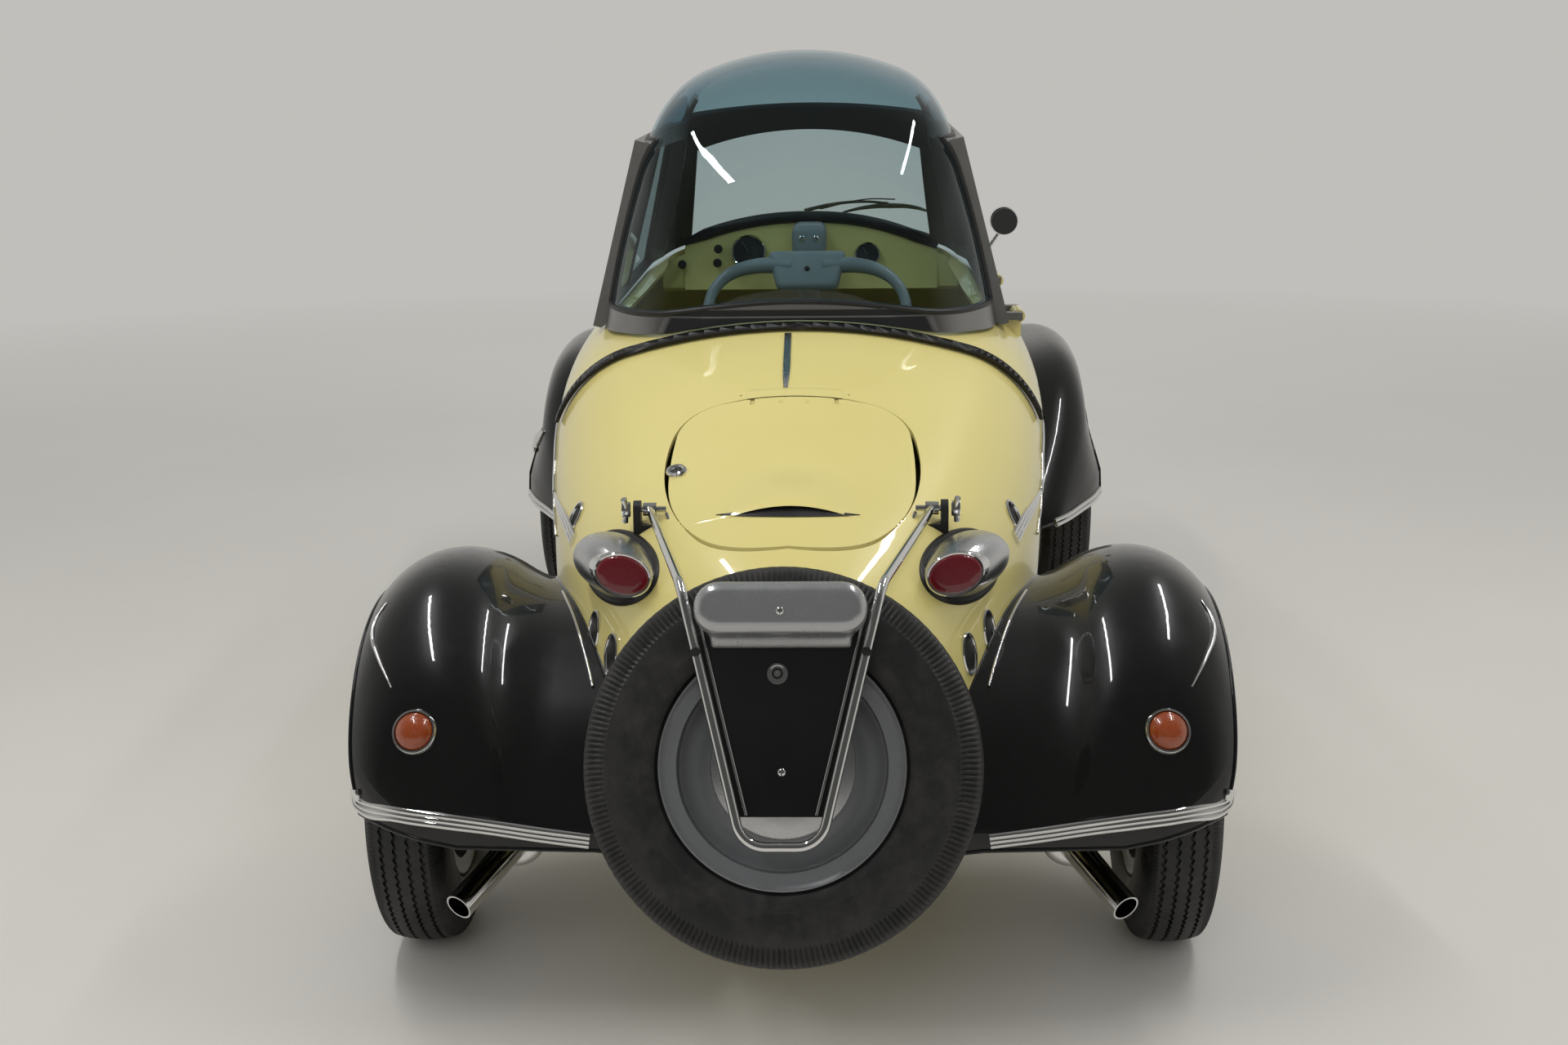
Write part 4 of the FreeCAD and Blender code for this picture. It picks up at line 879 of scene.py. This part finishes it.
def canopy_trims():
    for name, node, radius, keep in GASKETS:
        given(edging(name, node, radius, keep), SEAL, "canopy")
    lip = welded_copy("body_seal", "body_seal_lip")
    move_corners(lip, lambda co: SEAL_MIDDLE + (co - SEAL_MIDDLE) * SEAL_GROWTH)
    given(smooth(lip, 60), SEAL, "body", "body_seal")


# Guard

GUARD_EYE = (0.19, 0.952, 0.641)

# From the guard's eye in millimetres, counted outward, back and up
WING = ((34, 0, -17), (32, 4, -6), (32, 8, 6), (34, 12, 17))
LEVER = ((-22, 4, -4), (-28, 11, -19), (-34, 12, -34))
BALL = [(-6 * cos(pi * step / 12), 6 * sin(pi * step / 12)) for step in range(13)]

# In the spare wheel's frame in metres: across, up, out
GUARD_STRIP = ((0.0945, 0.166, 0.0762), (0.068, 0.055, 0.0762), (0.0405, -0.056, 0.0762))
GUARD_BOLT = ((0.0985, 0.131, 0.085),)
COVER_SCREW = (0.0, 0.176, 0.1205)
SPARE_FACING = Vector((0, cos(SPARE_LEAN), sin(SPARE_LEAN)))

PLATE_LOCK = [(-1, 0), (-1, 13), (2, 13), (4, 11.6), (4, 9.6), (1.0, 8.8), (1.0, 4.6), (4.4, 4.0), (4.4, 1.4),
              (2.2, 1.0), (2.2, 0)]
LOCK_WELL = [(1.2, 4.3), (1.2, 6.6), (1.6, 6.6), (1.6, 4.3), (1.2, 4.3)]
HUB_PLATE = [(-1, 0), (-1, 86), (2, 86), (4, 83), (4.5, 62), (8, 56), (9.5, 30), (10, 0)]


def guard_trims():
    """On the guard's brackets: nuts with wings, and levers with a ball."""
    for side, name in SIDES:
        eye = Vector((side * GUARD_EYE[0], *GUARD_EYE[1:]))
        wing, lever = ([eye + Vector((side * x, y, z)) * MM for x, y, z in points] for points in (WING, LEVER))
        spot = Matrix.Translation(eye + Vector((side * 0.026, 0, 0)))
        if side < 0:
            spot = spot @ Matrix.Rotation(pi, 4, "Z")
        for piece in (put(nut_piece("guard_nut_" + name, 0.0115, 0.012), spot),
                      sweep("guard_wing_" + name, wing, 0.0036, (1.25, 0.8, 0.8, 1.25)),
                      sweep("guard_lever_" + name, lever, 0.0026)):
            given(piece, CHROME, "guard")
        turned("guard_knob_" + name, BALL, frame_at(lever[2], lever[2] - lever[0]), STEEL, "guard", 24, 60)


def spare_spot(across, up, out):
    """A point in the spare wheel's own frame, in metres."""
    _, c, s = SPARE_FACING
    return SPARE + Vector((across, out * c - up * s, up * c + out * s))


def screw_piece(name, place, facing, radius, finish, body):
    """A raised screw head with its slot."""
    head = lathe(name, [(-1, 0), (-1, radius), (0.15 * radius, radius), (0.42 * radius, 0.72 * radius),
                        (0.5 * radius, 0.3 * radius), (0.5 * radius, 0)], 24)
    size = radius * MM
    cut(head, block("screw_cutter", (0.34 * size, 0.3 * size, 3 * size), (0.5 * size, 0, 0)))
    given(smooth(put(head, frame_at(place, facing)), 35), finish, body)


def guard_fittings():
    """Strips and bolts along the guard's legs, the plate's lock and screws, and a plate over the spare's hub."""
    for side, name in SIDES:
        places = [spare_spot(side * across, up, out) for across, up, out in GUARD_STRIP + GUARD_BOLT]
        given(sweep("guard_strip_" + name, places[:-1], 0.0021), CHROME, "guard")
        bolt = put(nut_piece("guard_bolt_" + name, 0.0062, 0.006), frame_at(places[-1], SPARE_FACING))
        given(bolt, STEEL, "guard")
    plate = tree_of("guard_plate")
    spot = frame_at(*seen(952, 825, plate))
    turned("plate_lock", PLATE_LOCK, spot, CHROME, "guard")
    turned("plate_lock_well", LOCK_WELL, spot, STEEL, "guard")
    out = (seen(957, 1000, tree_of("spare_rim"))[0] - SPARE).dot(SPARE_FACING)
    turned("spare_hub_plate", HUB_PLATE, frame_at(SPARE + SPARE_FACING * (out + 0.001), SPARE_FACING), POD,
           steps=72, slot="rim_paint")
    screw_piece("plate_screw", *seen(957, 946, plate), 4.6, CHROME, "guard")
    screw_piece("lamp_cover_screw", spare_spot(*COVER_SCREW), SPARE_FACING, 4.4, CHROME, "guard")


# The lid's hood in metres, its rows of faces, its mouth in pixels of the photograph (its inside a sheet of painted
# shade), and the lid's lock
HOOD_HALF = 0.15
HOOD_REACH = 0.135
HOOD_RISE = 0.0085
MOUTH_HALF = 0.092
HOOD_CROWN = 0.0016
HOOD_BOW = 0.004
MOUTH_DEPTH = 0.007
HOOD_ROWS = 26
LIP_ROWS = 4
MOUTH_PX = (965, 632)
MOUTH_HALF_PX = 88
LOCK_ROSE = [(-2, 7), (-2, 13.5), (2.5, 13.5), (5, 12), (5.6, 9.5), (4, 7.4), (-2, 7)]
LOCK_BARREL = [(-1, 0), (-1, 7.4), (3.4, 7.4), (4.4, 6), (4.4, 1.6), (2, 1.2), (2, 0)]


def hatch_hood():
    """The swell across the lid that ends in a crease, with an open mouth in its middle whose inside is painted shade
    in black, and the lid's lock.
    """
    lid = tree_of("tail_hatch", "tail_cover")
    crest = seen(963, 627, lid)[0].y
    piece = sheet("hatch_hood", 80, HOOD_ROWS + LIP_ROWS)

    def gap(x):
        return HOOD_RISE * max(0.0, 1.0 - (x / MOUTH_HALF) ** 2) ** 1.3

    def shaped(co):
        x = 2 * co.x * HOOD_HALF
        row = round((co.y + 0.5) * (HOOD_ROWS + LIP_ROWS))
        across = max(0.0, 1.0 - (x / HOOD_HALF) ** 2)
        edge = crest - HOOD_BOW * (x / HOOD_HALF) ** 2
        if row <= HOOD_ROWS:
            s = row / HOOD_ROWS
            y = edge - HOOD_REACH * (0.25 + 0.75 * across) * (1.0 - s)
            swell = s * s * (3 - 2 * s)
            rounded = HOOD_CROWN * max(0.0, (s - 0.94) / 0.06) ** 2
            return Vector((x, y, level(lid, x, y) + (gap(x) + HOOD_CROWN * across) * swell - rounded - 0.0003))
        t = (row - HOOD_ROWS) / LIP_ROWS
        y = edge - MOUTH_DEPTH * sin(0.5 * pi * t) * gap(x) / HOOD_RISE
        top = level(lid, x, edge) + gap(x) + HOOD_CROWN * across - 0.0019
        return Vector((x, y, top * (1.0 - t) + (level(lid, x, y) - 0.0012) * t))

    given(move_corners(piece, shaped), PAINT, "hatch").data.materials.append(STEEL)
    # The faces under the lip at the mouth take the black finish: painted shade in the recess under the hood's lip.
    for face in piece.data.polygons:
        if face.normal.z < 0.35 and face.center.y > crest - 0.012 and gap(face.center.x) > 0.0035:
            face.material_index = 1
    smooth(piece, 55)

    # A black sheet laid on the lid under the lip, between the crest and the crease: painted shade for the dark inside
    # of the mouth.
    def dark(co):
        bow = 1 - (2 * co.x) ** 2
        top, low = MOUTH_PX[1] - 8.5 * bow ** 1.4, MOUTH_PX[1] + 1.8 * bow
        point, normal = seen(MOUTH_PX[0] + MOUTH_HALF_PX * 2 * co.x, top + (low - top) * (0.5 - co.y), lid)
        return point + normal * (0.0012 + 0.0014 * (0.5 + co.y))

    given(smooth(move_corners(sheet("hatch_mouth_shade", 40, 5), dark), 60), STEEL, "hatch")
    spot = frame_at(*seen(829, 578, lid)) @ Matrix.Diagonal((1.0, 1.28, 0.95, 1.0))
    turned("hatch_lock_rose", LOCK_ROSE, spot, CHROME, "hatch")
    turned("hatch_lock_barrel", LOCK_BARREL, spot, STEEL, "hatch")


# The skin over the lid's hinge pockets: half its width, its front edge, its gap to the lid, and its sink at the rim
SKIN_HALF = 0.072
SKIN_FRONT = 0.676
LID_GAP = 0.0018
SKIN_SINK = 0.0014
SEAM_PLACES = (0.0, 0.067, 0.08)
SHELL_ROWS = (0.64, 0.66, 0.736, 0.76)
LID_TOP = 0.735
SEAM_STEP = 0.0004

# The tips of the lid's hinge arms: how far out they lie, their place and depth along the car, their height, their sink
ARM_NEAR, ARM_FAR = 0.015, 0.066
ARM_TIP_Y = 0.72
ARM_TIP_DEPTH = 0.0015
ARM_TIP_Z = 0.7465
ARM_SINK = Vector((0, 0, 0.011))


def bridged(places, values, at):
    """The value at a place on the smooth line through some others."""
    return sum(value * prod((at - other) / (place - other) for other in places if other != place)
               for place, value in zip(places, values))


def hinge_cover():
    """A painted skin over the lid's hinge pockets, and the lid with its hinge arms' tips sunk under it."""
    shell, lid = tree_of("tail_hatch", "tail_cover"), tree_of("tail_hatch")
    seams = []
    for x in SEAM_PLACES:
        y = SKIN_FRONT
        while level(lid, x, y) < LID_TOP:
            y += SEAM_STEP
        seams.append(y)

    def laid(co):
        x = 2 * co.x * SKIN_HALF
        share = co.y + 0.5
        seam = bridged([place ** 2 for place in SEAM_PLACES], seams, x * x) - LID_GAP
        y = SKIN_FRONT + (seam - SKIN_FRONT) * share
        edge = min(1.0, share / 0.3, (1 - abs(2 * co.x)) / 0.06)
        z = bridged(SHELL_ROWS, [level(shell, x, row) for row in SHELL_ROWS], y)
        return Vector((x, y, z + SKIN_SINK / 2 - SKIN_SINK * (1 - edge) ** 2))

    def sunk(co):
        at_tip = ARM_NEAR < abs(co.x) < ARM_FAR and abs(co.y - ARM_TIP_Y) < ARM_TIP_DEPTH and co.z > ARM_TIP_Z
        return co - ARM_SINK if at_tip else co

    given(smooth(move_corners(sheet("hinge_cover", 60, 14), laid), 60), PAINT)
    given(move_corners(copy_of(nodes["tail_hatch"], "tail_hatch_lid"), sunk), PAINT, "hatch", "tail_hatch")


LAMP_VOXEL = 0.0022
LAMP_ROUNDS = 26


def plate_lamp():
    """The lamp across the guard, its edges drawn round."""
    cover = welded_copy("lamp_cover", "lamp_cover_piece")
    modify(cover, "REMESH", mode="VOXEL", voxel_size=LAMP_VOXEL)
    modify(cover, "SMOOTH", factor=0.6, iterations=LAMP_ROUNDS)
    given(smooth(cover, 60), SILVER, "guard", "lamp_cover")


# Dash: its face's place along the car and its lower edge, then pixels of the photograph on that face
DASH_Y = -0.552
DASH_LOW = 0.757
ROLL_RADIUS = 0.012
DIALS = (("speed_dial", 917, 309, 35), ("clock_dial", 1062, 312, 26))
DIAL_FACING = Vector((0, 0.96, 0.26))
NEEDLE_RUN = Vector((0.5, 0, 0.8)).normalized()
DASH_KNOBS = ((880, 305), (879, 322), (836, 324), (1008, 318))
KNOB = [(-2, 0), (-2, 5), (6, 5), (8, 8.6), (13, 9), (16, 7), (17, 0)]
NACELLE_EYE = [(-2, 0), (-2, 6), (1, 6), (3, 4), (3.6, 0)]
BACKWARD = Vector((0, 1, 0))


def dash_fittings():
    """The panel's face with its padded roll, two dials, knobs and the box round the column."""
    left, top, right = along(838, 301, DASH_Y), along(990, 269, DASH_Y), along(1148, 305, DASH_Y)

    def crown(x):
        side = left if x > top.x else right
        return top.z + (side.z - top.z) * min(1.0, abs(x - top.x) / abs(side.x - top.x)) ** 2.2

    def panel(co):
        x = left.x + (right.x - left.x) * (co.x + 0.5)
        share = co.y + 0.5
        return Vector((x, DASH_Y - 0.02 * share, DASH_LOW + (crown(x) - DASH_LOW) * share))

    face = move_corners(sheet("dash_face", 40, 12), panel)
    modify(face, "SOLIDIFY", thickness=0.006, offset=-1)
    given(smooth(face, 40), PAINT)
    places = [left.x + (right.x - left.x) * step / 12 for step in range(13)]
    roll = sweep("dash_roll", [Vector((x, DASH_Y - 0.018, crown(x) + 0.004)) for x in places], ROLL_RADIUS,
                 (0.5,) + (1.0,) * 11 + (0.5,))
    given(roll, SEAL)
    for name, px, py, radius in DIALS:
        place = along(px, py, DASH_Y + 0.004)
        spot = frame_at(place, DIAL_FACING)
        bezel = [(-6, radius - 3), (-6, radius), (3, radius), (5, radius - 1.5), (4, radius - 3.5), (1, radius - 4),
                 (-6, radius - 3)]
        turned(name + "_bezel", bezel, spot, CHROME, steps=56)
        turned(name + "_card", [(0.5, 0), (0.5, radius - 3)], spot, DIAL, steps=56)
        root = place + DIAL_FACING * 0.003
        given(sweep(name + "_needle", [root, root + NEEDLE_RUN * (radius - 9) * MM], 0.0008), RIM)
    for count, (px, py) in enumerate(DASH_KNOBS):
        spot = frame_at(along(px, py, DASH_Y + 0.001), Vector((0, 1, 0.1)))
        turned("dash_knob_%d" % count, KNOB, spot, SEAL, steps=28)
    nacelle = block("column_nacelle", (0.068, 0.1, 0.064), (0.0, -0.505, 0.862))
    modify(nacelle, "BEVEL", width=0.016, segments=5)
    given(smooth(nacelle, 40), GREY)
    for count, x in enumerate((-0.014, 0.014)):
        turned("nacelle_lamp_%d" % count, NACELLE_EYE, frame_at(Vector((x, -0.455, 0.868)), BACKWARD), CHROME,
               steps=24)


YOKE_TOP = Vector((0, -0.268, 0.838))
YOKE_AXIS = Vector((0, cos(radians(24.0)), sin(radians(24.0))))
YOKE_UP = Vector((0, -YOKE_AXIS.z, YOKE_AXIS.y))
BOSS_MIDDLE = YOKE_TOP - YOKE_UP * 0.014

# One half of the yoke in its own plane: across, up, half height of its blade, all in millimetres
YOKE_BLADE = ((30, 2, 18), (66, 4, 15.5), (100, 2, 14), (136, -8, 12.5), (166, -30, 11), (184, -64, 10.5),
              (186, -100, 11), (178, -140, 11.5))


def steering():
    """The yoke: a broad pressed boss with flattened arms that turn down into grips."""
    boss = block("yoke_boss", (0.132, 0.03, 0.076))
    move_corners(boss, lambda co: Vector((co.x * (1.0 + 3.6 * co.z), co.y, co.z)))
    modify(boss, "BEVEL", width=0.012, segments=5)
    parts = [put(boss, placed(BOSS_MIDDLE, (-1, 0, 0), YOKE_AXIS, YOKE_UP))]
    for side, name in SIDES:
        points = [YOKE_TOP + Vector((side * x * MM, 0, 0)) + YOKE_UP * (up - 6) * MM for x, up, _ in YOKE_BLADE]
        parts.append(sweep("yoke_arm_" + name, points, 0.001, [half for _, _, half in YOKE_BLADE], 8))
    given(smooth(join("yoke_dressed", parts), 40), GREY, "yoke", "steering_yoke")


# Parts of the wiper, as pixels of the photograph at its place along the car: name, pixels, radius, taper
WIPER_Y = -0.706
WIPER = (
    ("wiper_dressed", ((985, 258), (1020, 250), (1058, 247), (1088, 249)), 0.0028, (1.5, 1.2, 1.0, 1.0)),
    ("wiper_rod", ((1004, 256), (1060, 244), (1096, 244)), 0.0014, None),
    ("wiper_blade", ((1032, 260), (1060, 254), (1090, 252), (1120, 254), (1140, 260)), 0.0042,
     (0.5, 1.0, 1.3, 1.0, 0.5)),
)


def wiper_piece():
    """The wiper in front of the screen: its arm, a thin rod beside it and the blade."""
    parts = [sweep(name, [along(px, py, WIPER_Y) for px, py in pixels], radius, taper)
             for name, pixels, radius, taper in WIPER]
    given(join("wiper_dressed", parts), STEEL, "canopy", "wiper")


MIRROR_MIDDLE = Vector((-0.385, -0.4568, 0.898))
SIDE_LAMP_NEAR = Vector((-0.42, 0.02, 0.585))
SIDE_LAMP_FACING = Vector((-1, 0.15, 0.0))
MARKER = ((667, 527), (658, 536), (648, 546), (640, 554))
NOSE_LEVELS = (0.4, 0.45, 0.5, 0.55, 0.6, 0.65, 0.7, 0.75, 0.79)


def small_fittings():
    """Mirror glass, side lamps, the nose strip and the yoke's centre bolt."""
    turned("mirror_glass", [(0.4, 0), (0.4, 25.6), (-2, 25.8)], frame_at(MIRROR_MIDDLE, BACKWARD), PLATE,
           "canopy", 48)
    shell = tree_of("tub")
    lamp = turned("side_lamp_right", [(-6, 0), (-6, 15), (3, 15), (10, 12.5), (16, 7), (18, 0)],
                  frame_at(shell.find_nearest(SIDE_LAMP_NEAR)[0], SIDE_LAMP_FACING), AMBER)
    given(mirror_of(lamp, "side_lamp_left"), AMBER)
    given(ribbed("fender_marker", MARKER, tree_of("front_fender_left"), (-0.004, 0.004), 0.0075,
                 (0.5, 1.1, 1.1, 0.5), 0.004), CHROME)
    points = [shell.ray_cast(Vector((0, -3, z)), BACKWARD)[0] - BACKWARD * MM for z in NOSE_LEVELS]
    given(sweep("nose_strip", points, 0.004), CHROME)
    screw_piece("yoke_bolt", BOSS_MIDDLE + YOKE_AXIS * 0.0165, YOKE_AXIS, 5, STEEL, "yoke")


# Seat pads: their clearance inside the solids, their voxels, the cloth's steps, and how far it may swell
PAD_CLEARANCE = 0.018
PAD_VOXEL = 0.008
PAD_STEPS = 20
PAD_SWELL = 0.009


def swell(pad):
    """Blows a pad up as cloth, held to a small way from where it began."""
    start = [v.co.copy() for v in pad.data.vertices]
    pick(pad)
    cloth = pad.modifiers.new("Cloth", "CLOTH")
    cloth.settings.use_pressure = True
    cloth.settings.uniform_pressure_force = 4.0
    cloth.settings.effector_weights.gravity = 0.0
    cloth.point_cache.frame_end = PAD_STEPS
    for step in range(1, PAD_STEPS + 1):
        scene.frame_set(step)
    bpy.ops.object.modifier_apply(modifier="Cloth")
    scene.frame_set(1)
    for corner, was in zip(pad.data.vertices, start):
        move = corner.co - was
        if move.length > PAD_SWELL:
            corner.co = was + move.normalized() * PAD_SWELL


def seat_pads():
    for name in ("front_seat_cushion", "front_seat_back", "rear_seat_cushion", "rear_seat_back"):
        pad = welded_copy(name, name + "_pad")
        low, high = (Vector([end(v.co[i] for v in pad.data.vertices) for i in range(3)]) for end in (min, max))
        middle = (low + high) / 2
        shrink = Vector([1.0 - PAD_CLEARANCE / (high[i] - low[i]) for i in range(3)])
        move_corners(pad, lambda co: middle + (co - middle) * shrink)
        modify(pad, "REMESH", mode="VOXEL", voxel_size=PAD_VOXEL)
        modify(pad, "SMOOTH", factor=0.5, iterations=4)
        swell(pad)
        modify(pad, "SUBSURF", levels=1, render_levels=1)
        given(smooth(pad, 60), FABRIC, "body", name)


# Stage

class Surround(Finish):
    """The world round the scene, with the same way of adding nodes."""

    def __init__(self, name):
        self.world = bpy.data.worlds.new(name)
        self.world.use_nodes = True
        self.tree = self.world.node_tree
        self.tree.nodes.clear()
        self.end = self.tree.nodes.new("ShaderNodeOutputWorld")
        self.place = self.node("TexCoord", {}, {}, "Generated")


FLOOR_SIZE = 80
FLOOR = (0.61, 0.59, 0.545)
FLOOR_SHADE = (0.58, 0.56, 0.515)
SKY = (0.93, 0.935, 0.94)
SKY_STRENGTH = 0.66
BACKDROP = (0.53, 0.52, 0.495)
FLOOR_FADES = (3.0, 7.0)

# Tubes overhead: name, place, turn from the car's length in degrees, power
TUBES = (
    ("tube_left", (1.15, 0.9, 3.1), 8.0, 28),
    ("tube_right", (-1.5, 0.2, 3.1), 3.0, 26),
)
TUBE_LENGTH = 2.4
TUBE_WIDTH = 0.1

# Soft fills: name, place, what they face, power
FILLS = (
    ("fill_behind", (0.5, 5.6, 3.0), (0, 0.6, 0.5), 50),
    ("fill_ahead", (0, -5.6, 3.0), (0, -0.6, 0.5), 40),
)
FILL_SIZE = (3.4, 2.2)


def lamp(name, place, length, width, power):
    light = bpy.data.lights.new(name, "AREA")
    light.shape = "RECTANGLE"
    light.size = length
    light.size_y = width
    light.energy = power
    made = linked(name, light)
    made.location = place
    made.rotation_mode = "QUATERNION"
    made.visible_camera = False
    return made


def floor_and_light():
    floor = added("floor", "plane", size=FLOOR_SIZE)
    made = Finish("floor_pale", FLOOR, Roughness=0.5)
    made.feed("Base Color", made.blend(made.cloud(0.8, 4.0, 0.6, 0.3, 0.7), FLOOR, FLOOR_SHADE))
    away = made.node("VectorMath", {"operation": "LENGTH"}, {0: made.place}, "Value")
    far = made.node("Emission", {}, {"Color": (*BACKDROP, 1.0)})
    made.show(made.node("MixShader", {}, {0: made.spread(away, *FLOOR_FADES), 1: made.plain(), 2: far}))
    floor.data.materials.append(made.material)
    room = Surround("studio")
    rise = room.node("SeparateXYZ", {}, {0: room.place}, "Z")
    behind = room.node("SeparateXYZ", {}, {0: room.place}, "Y")
    mirrored = room.node("ValToRGB", {"stops": ((0.0, BACKDROP), (0.25, BACKDROP), (0.5, (0.36, 0.355, 0.34)),
                                                (0.9, (0.2, 0.2, 0.195)))}, {0: rise})
    mirrored = room.blend(room.spread(behind, 0.05, 0.6), mirrored, (0.07, 0.07, 0.068))
    soft = room.node("Background", {}, {0: (*SKY, 1.0), 1: SKY_STRENGTH})
    shown = room.node("Background", {}, {0: (*BACKDROP, 1.0)})
    gloss = room.node("Background", {}, {0: mirrored})
    camera_ray = room.node("LightPath", {}, {}, "Is Camera Ray")
    glossy_ray = room.node("LightPath", {}, {}, "Is Glossy Ray")
    through = room.node("LightPath", {}, {}, "Is Transmission Ray")
    lit = room.node("MixShader", {}, {0: glossy_ray, 1: soft, 2: gloss})
    room.show(room.node("MixShader", {}, {0: camera_ray + through, 1: lit, 2: shown}))
    scene.world = room.world
    for name, place, turn, power in TUBES:
        tube = lamp(name, place, TUBE_LENGTH, TUBE_WIDTH, power)
        tube.rotation_quaternion = Matrix.Rotation(radians(90.0 + turn), 3, "Z").to_quaternion()
    for name, place, target, power in FILLS:
        fill = lamp(name, place, *FILL_SIZE, power)
        fill.rotation_quaternion = (Vector(target) - Vector(place)).to_track_quat("-Z", "Y")
        fill.visible_glossy = False
    scene.view_settings.view_transform = "Standard"


camera()
floor_and_light()
dress_nodes()
wheels()
lamps()
trims()
canopy_trims()
guard_trims()
guard_fittings()
hatch_hood()
hinge_cover()
plate_lamp()
dash_fittings()
steering()
wiper_piece()
small_fittings()
seat_pads()
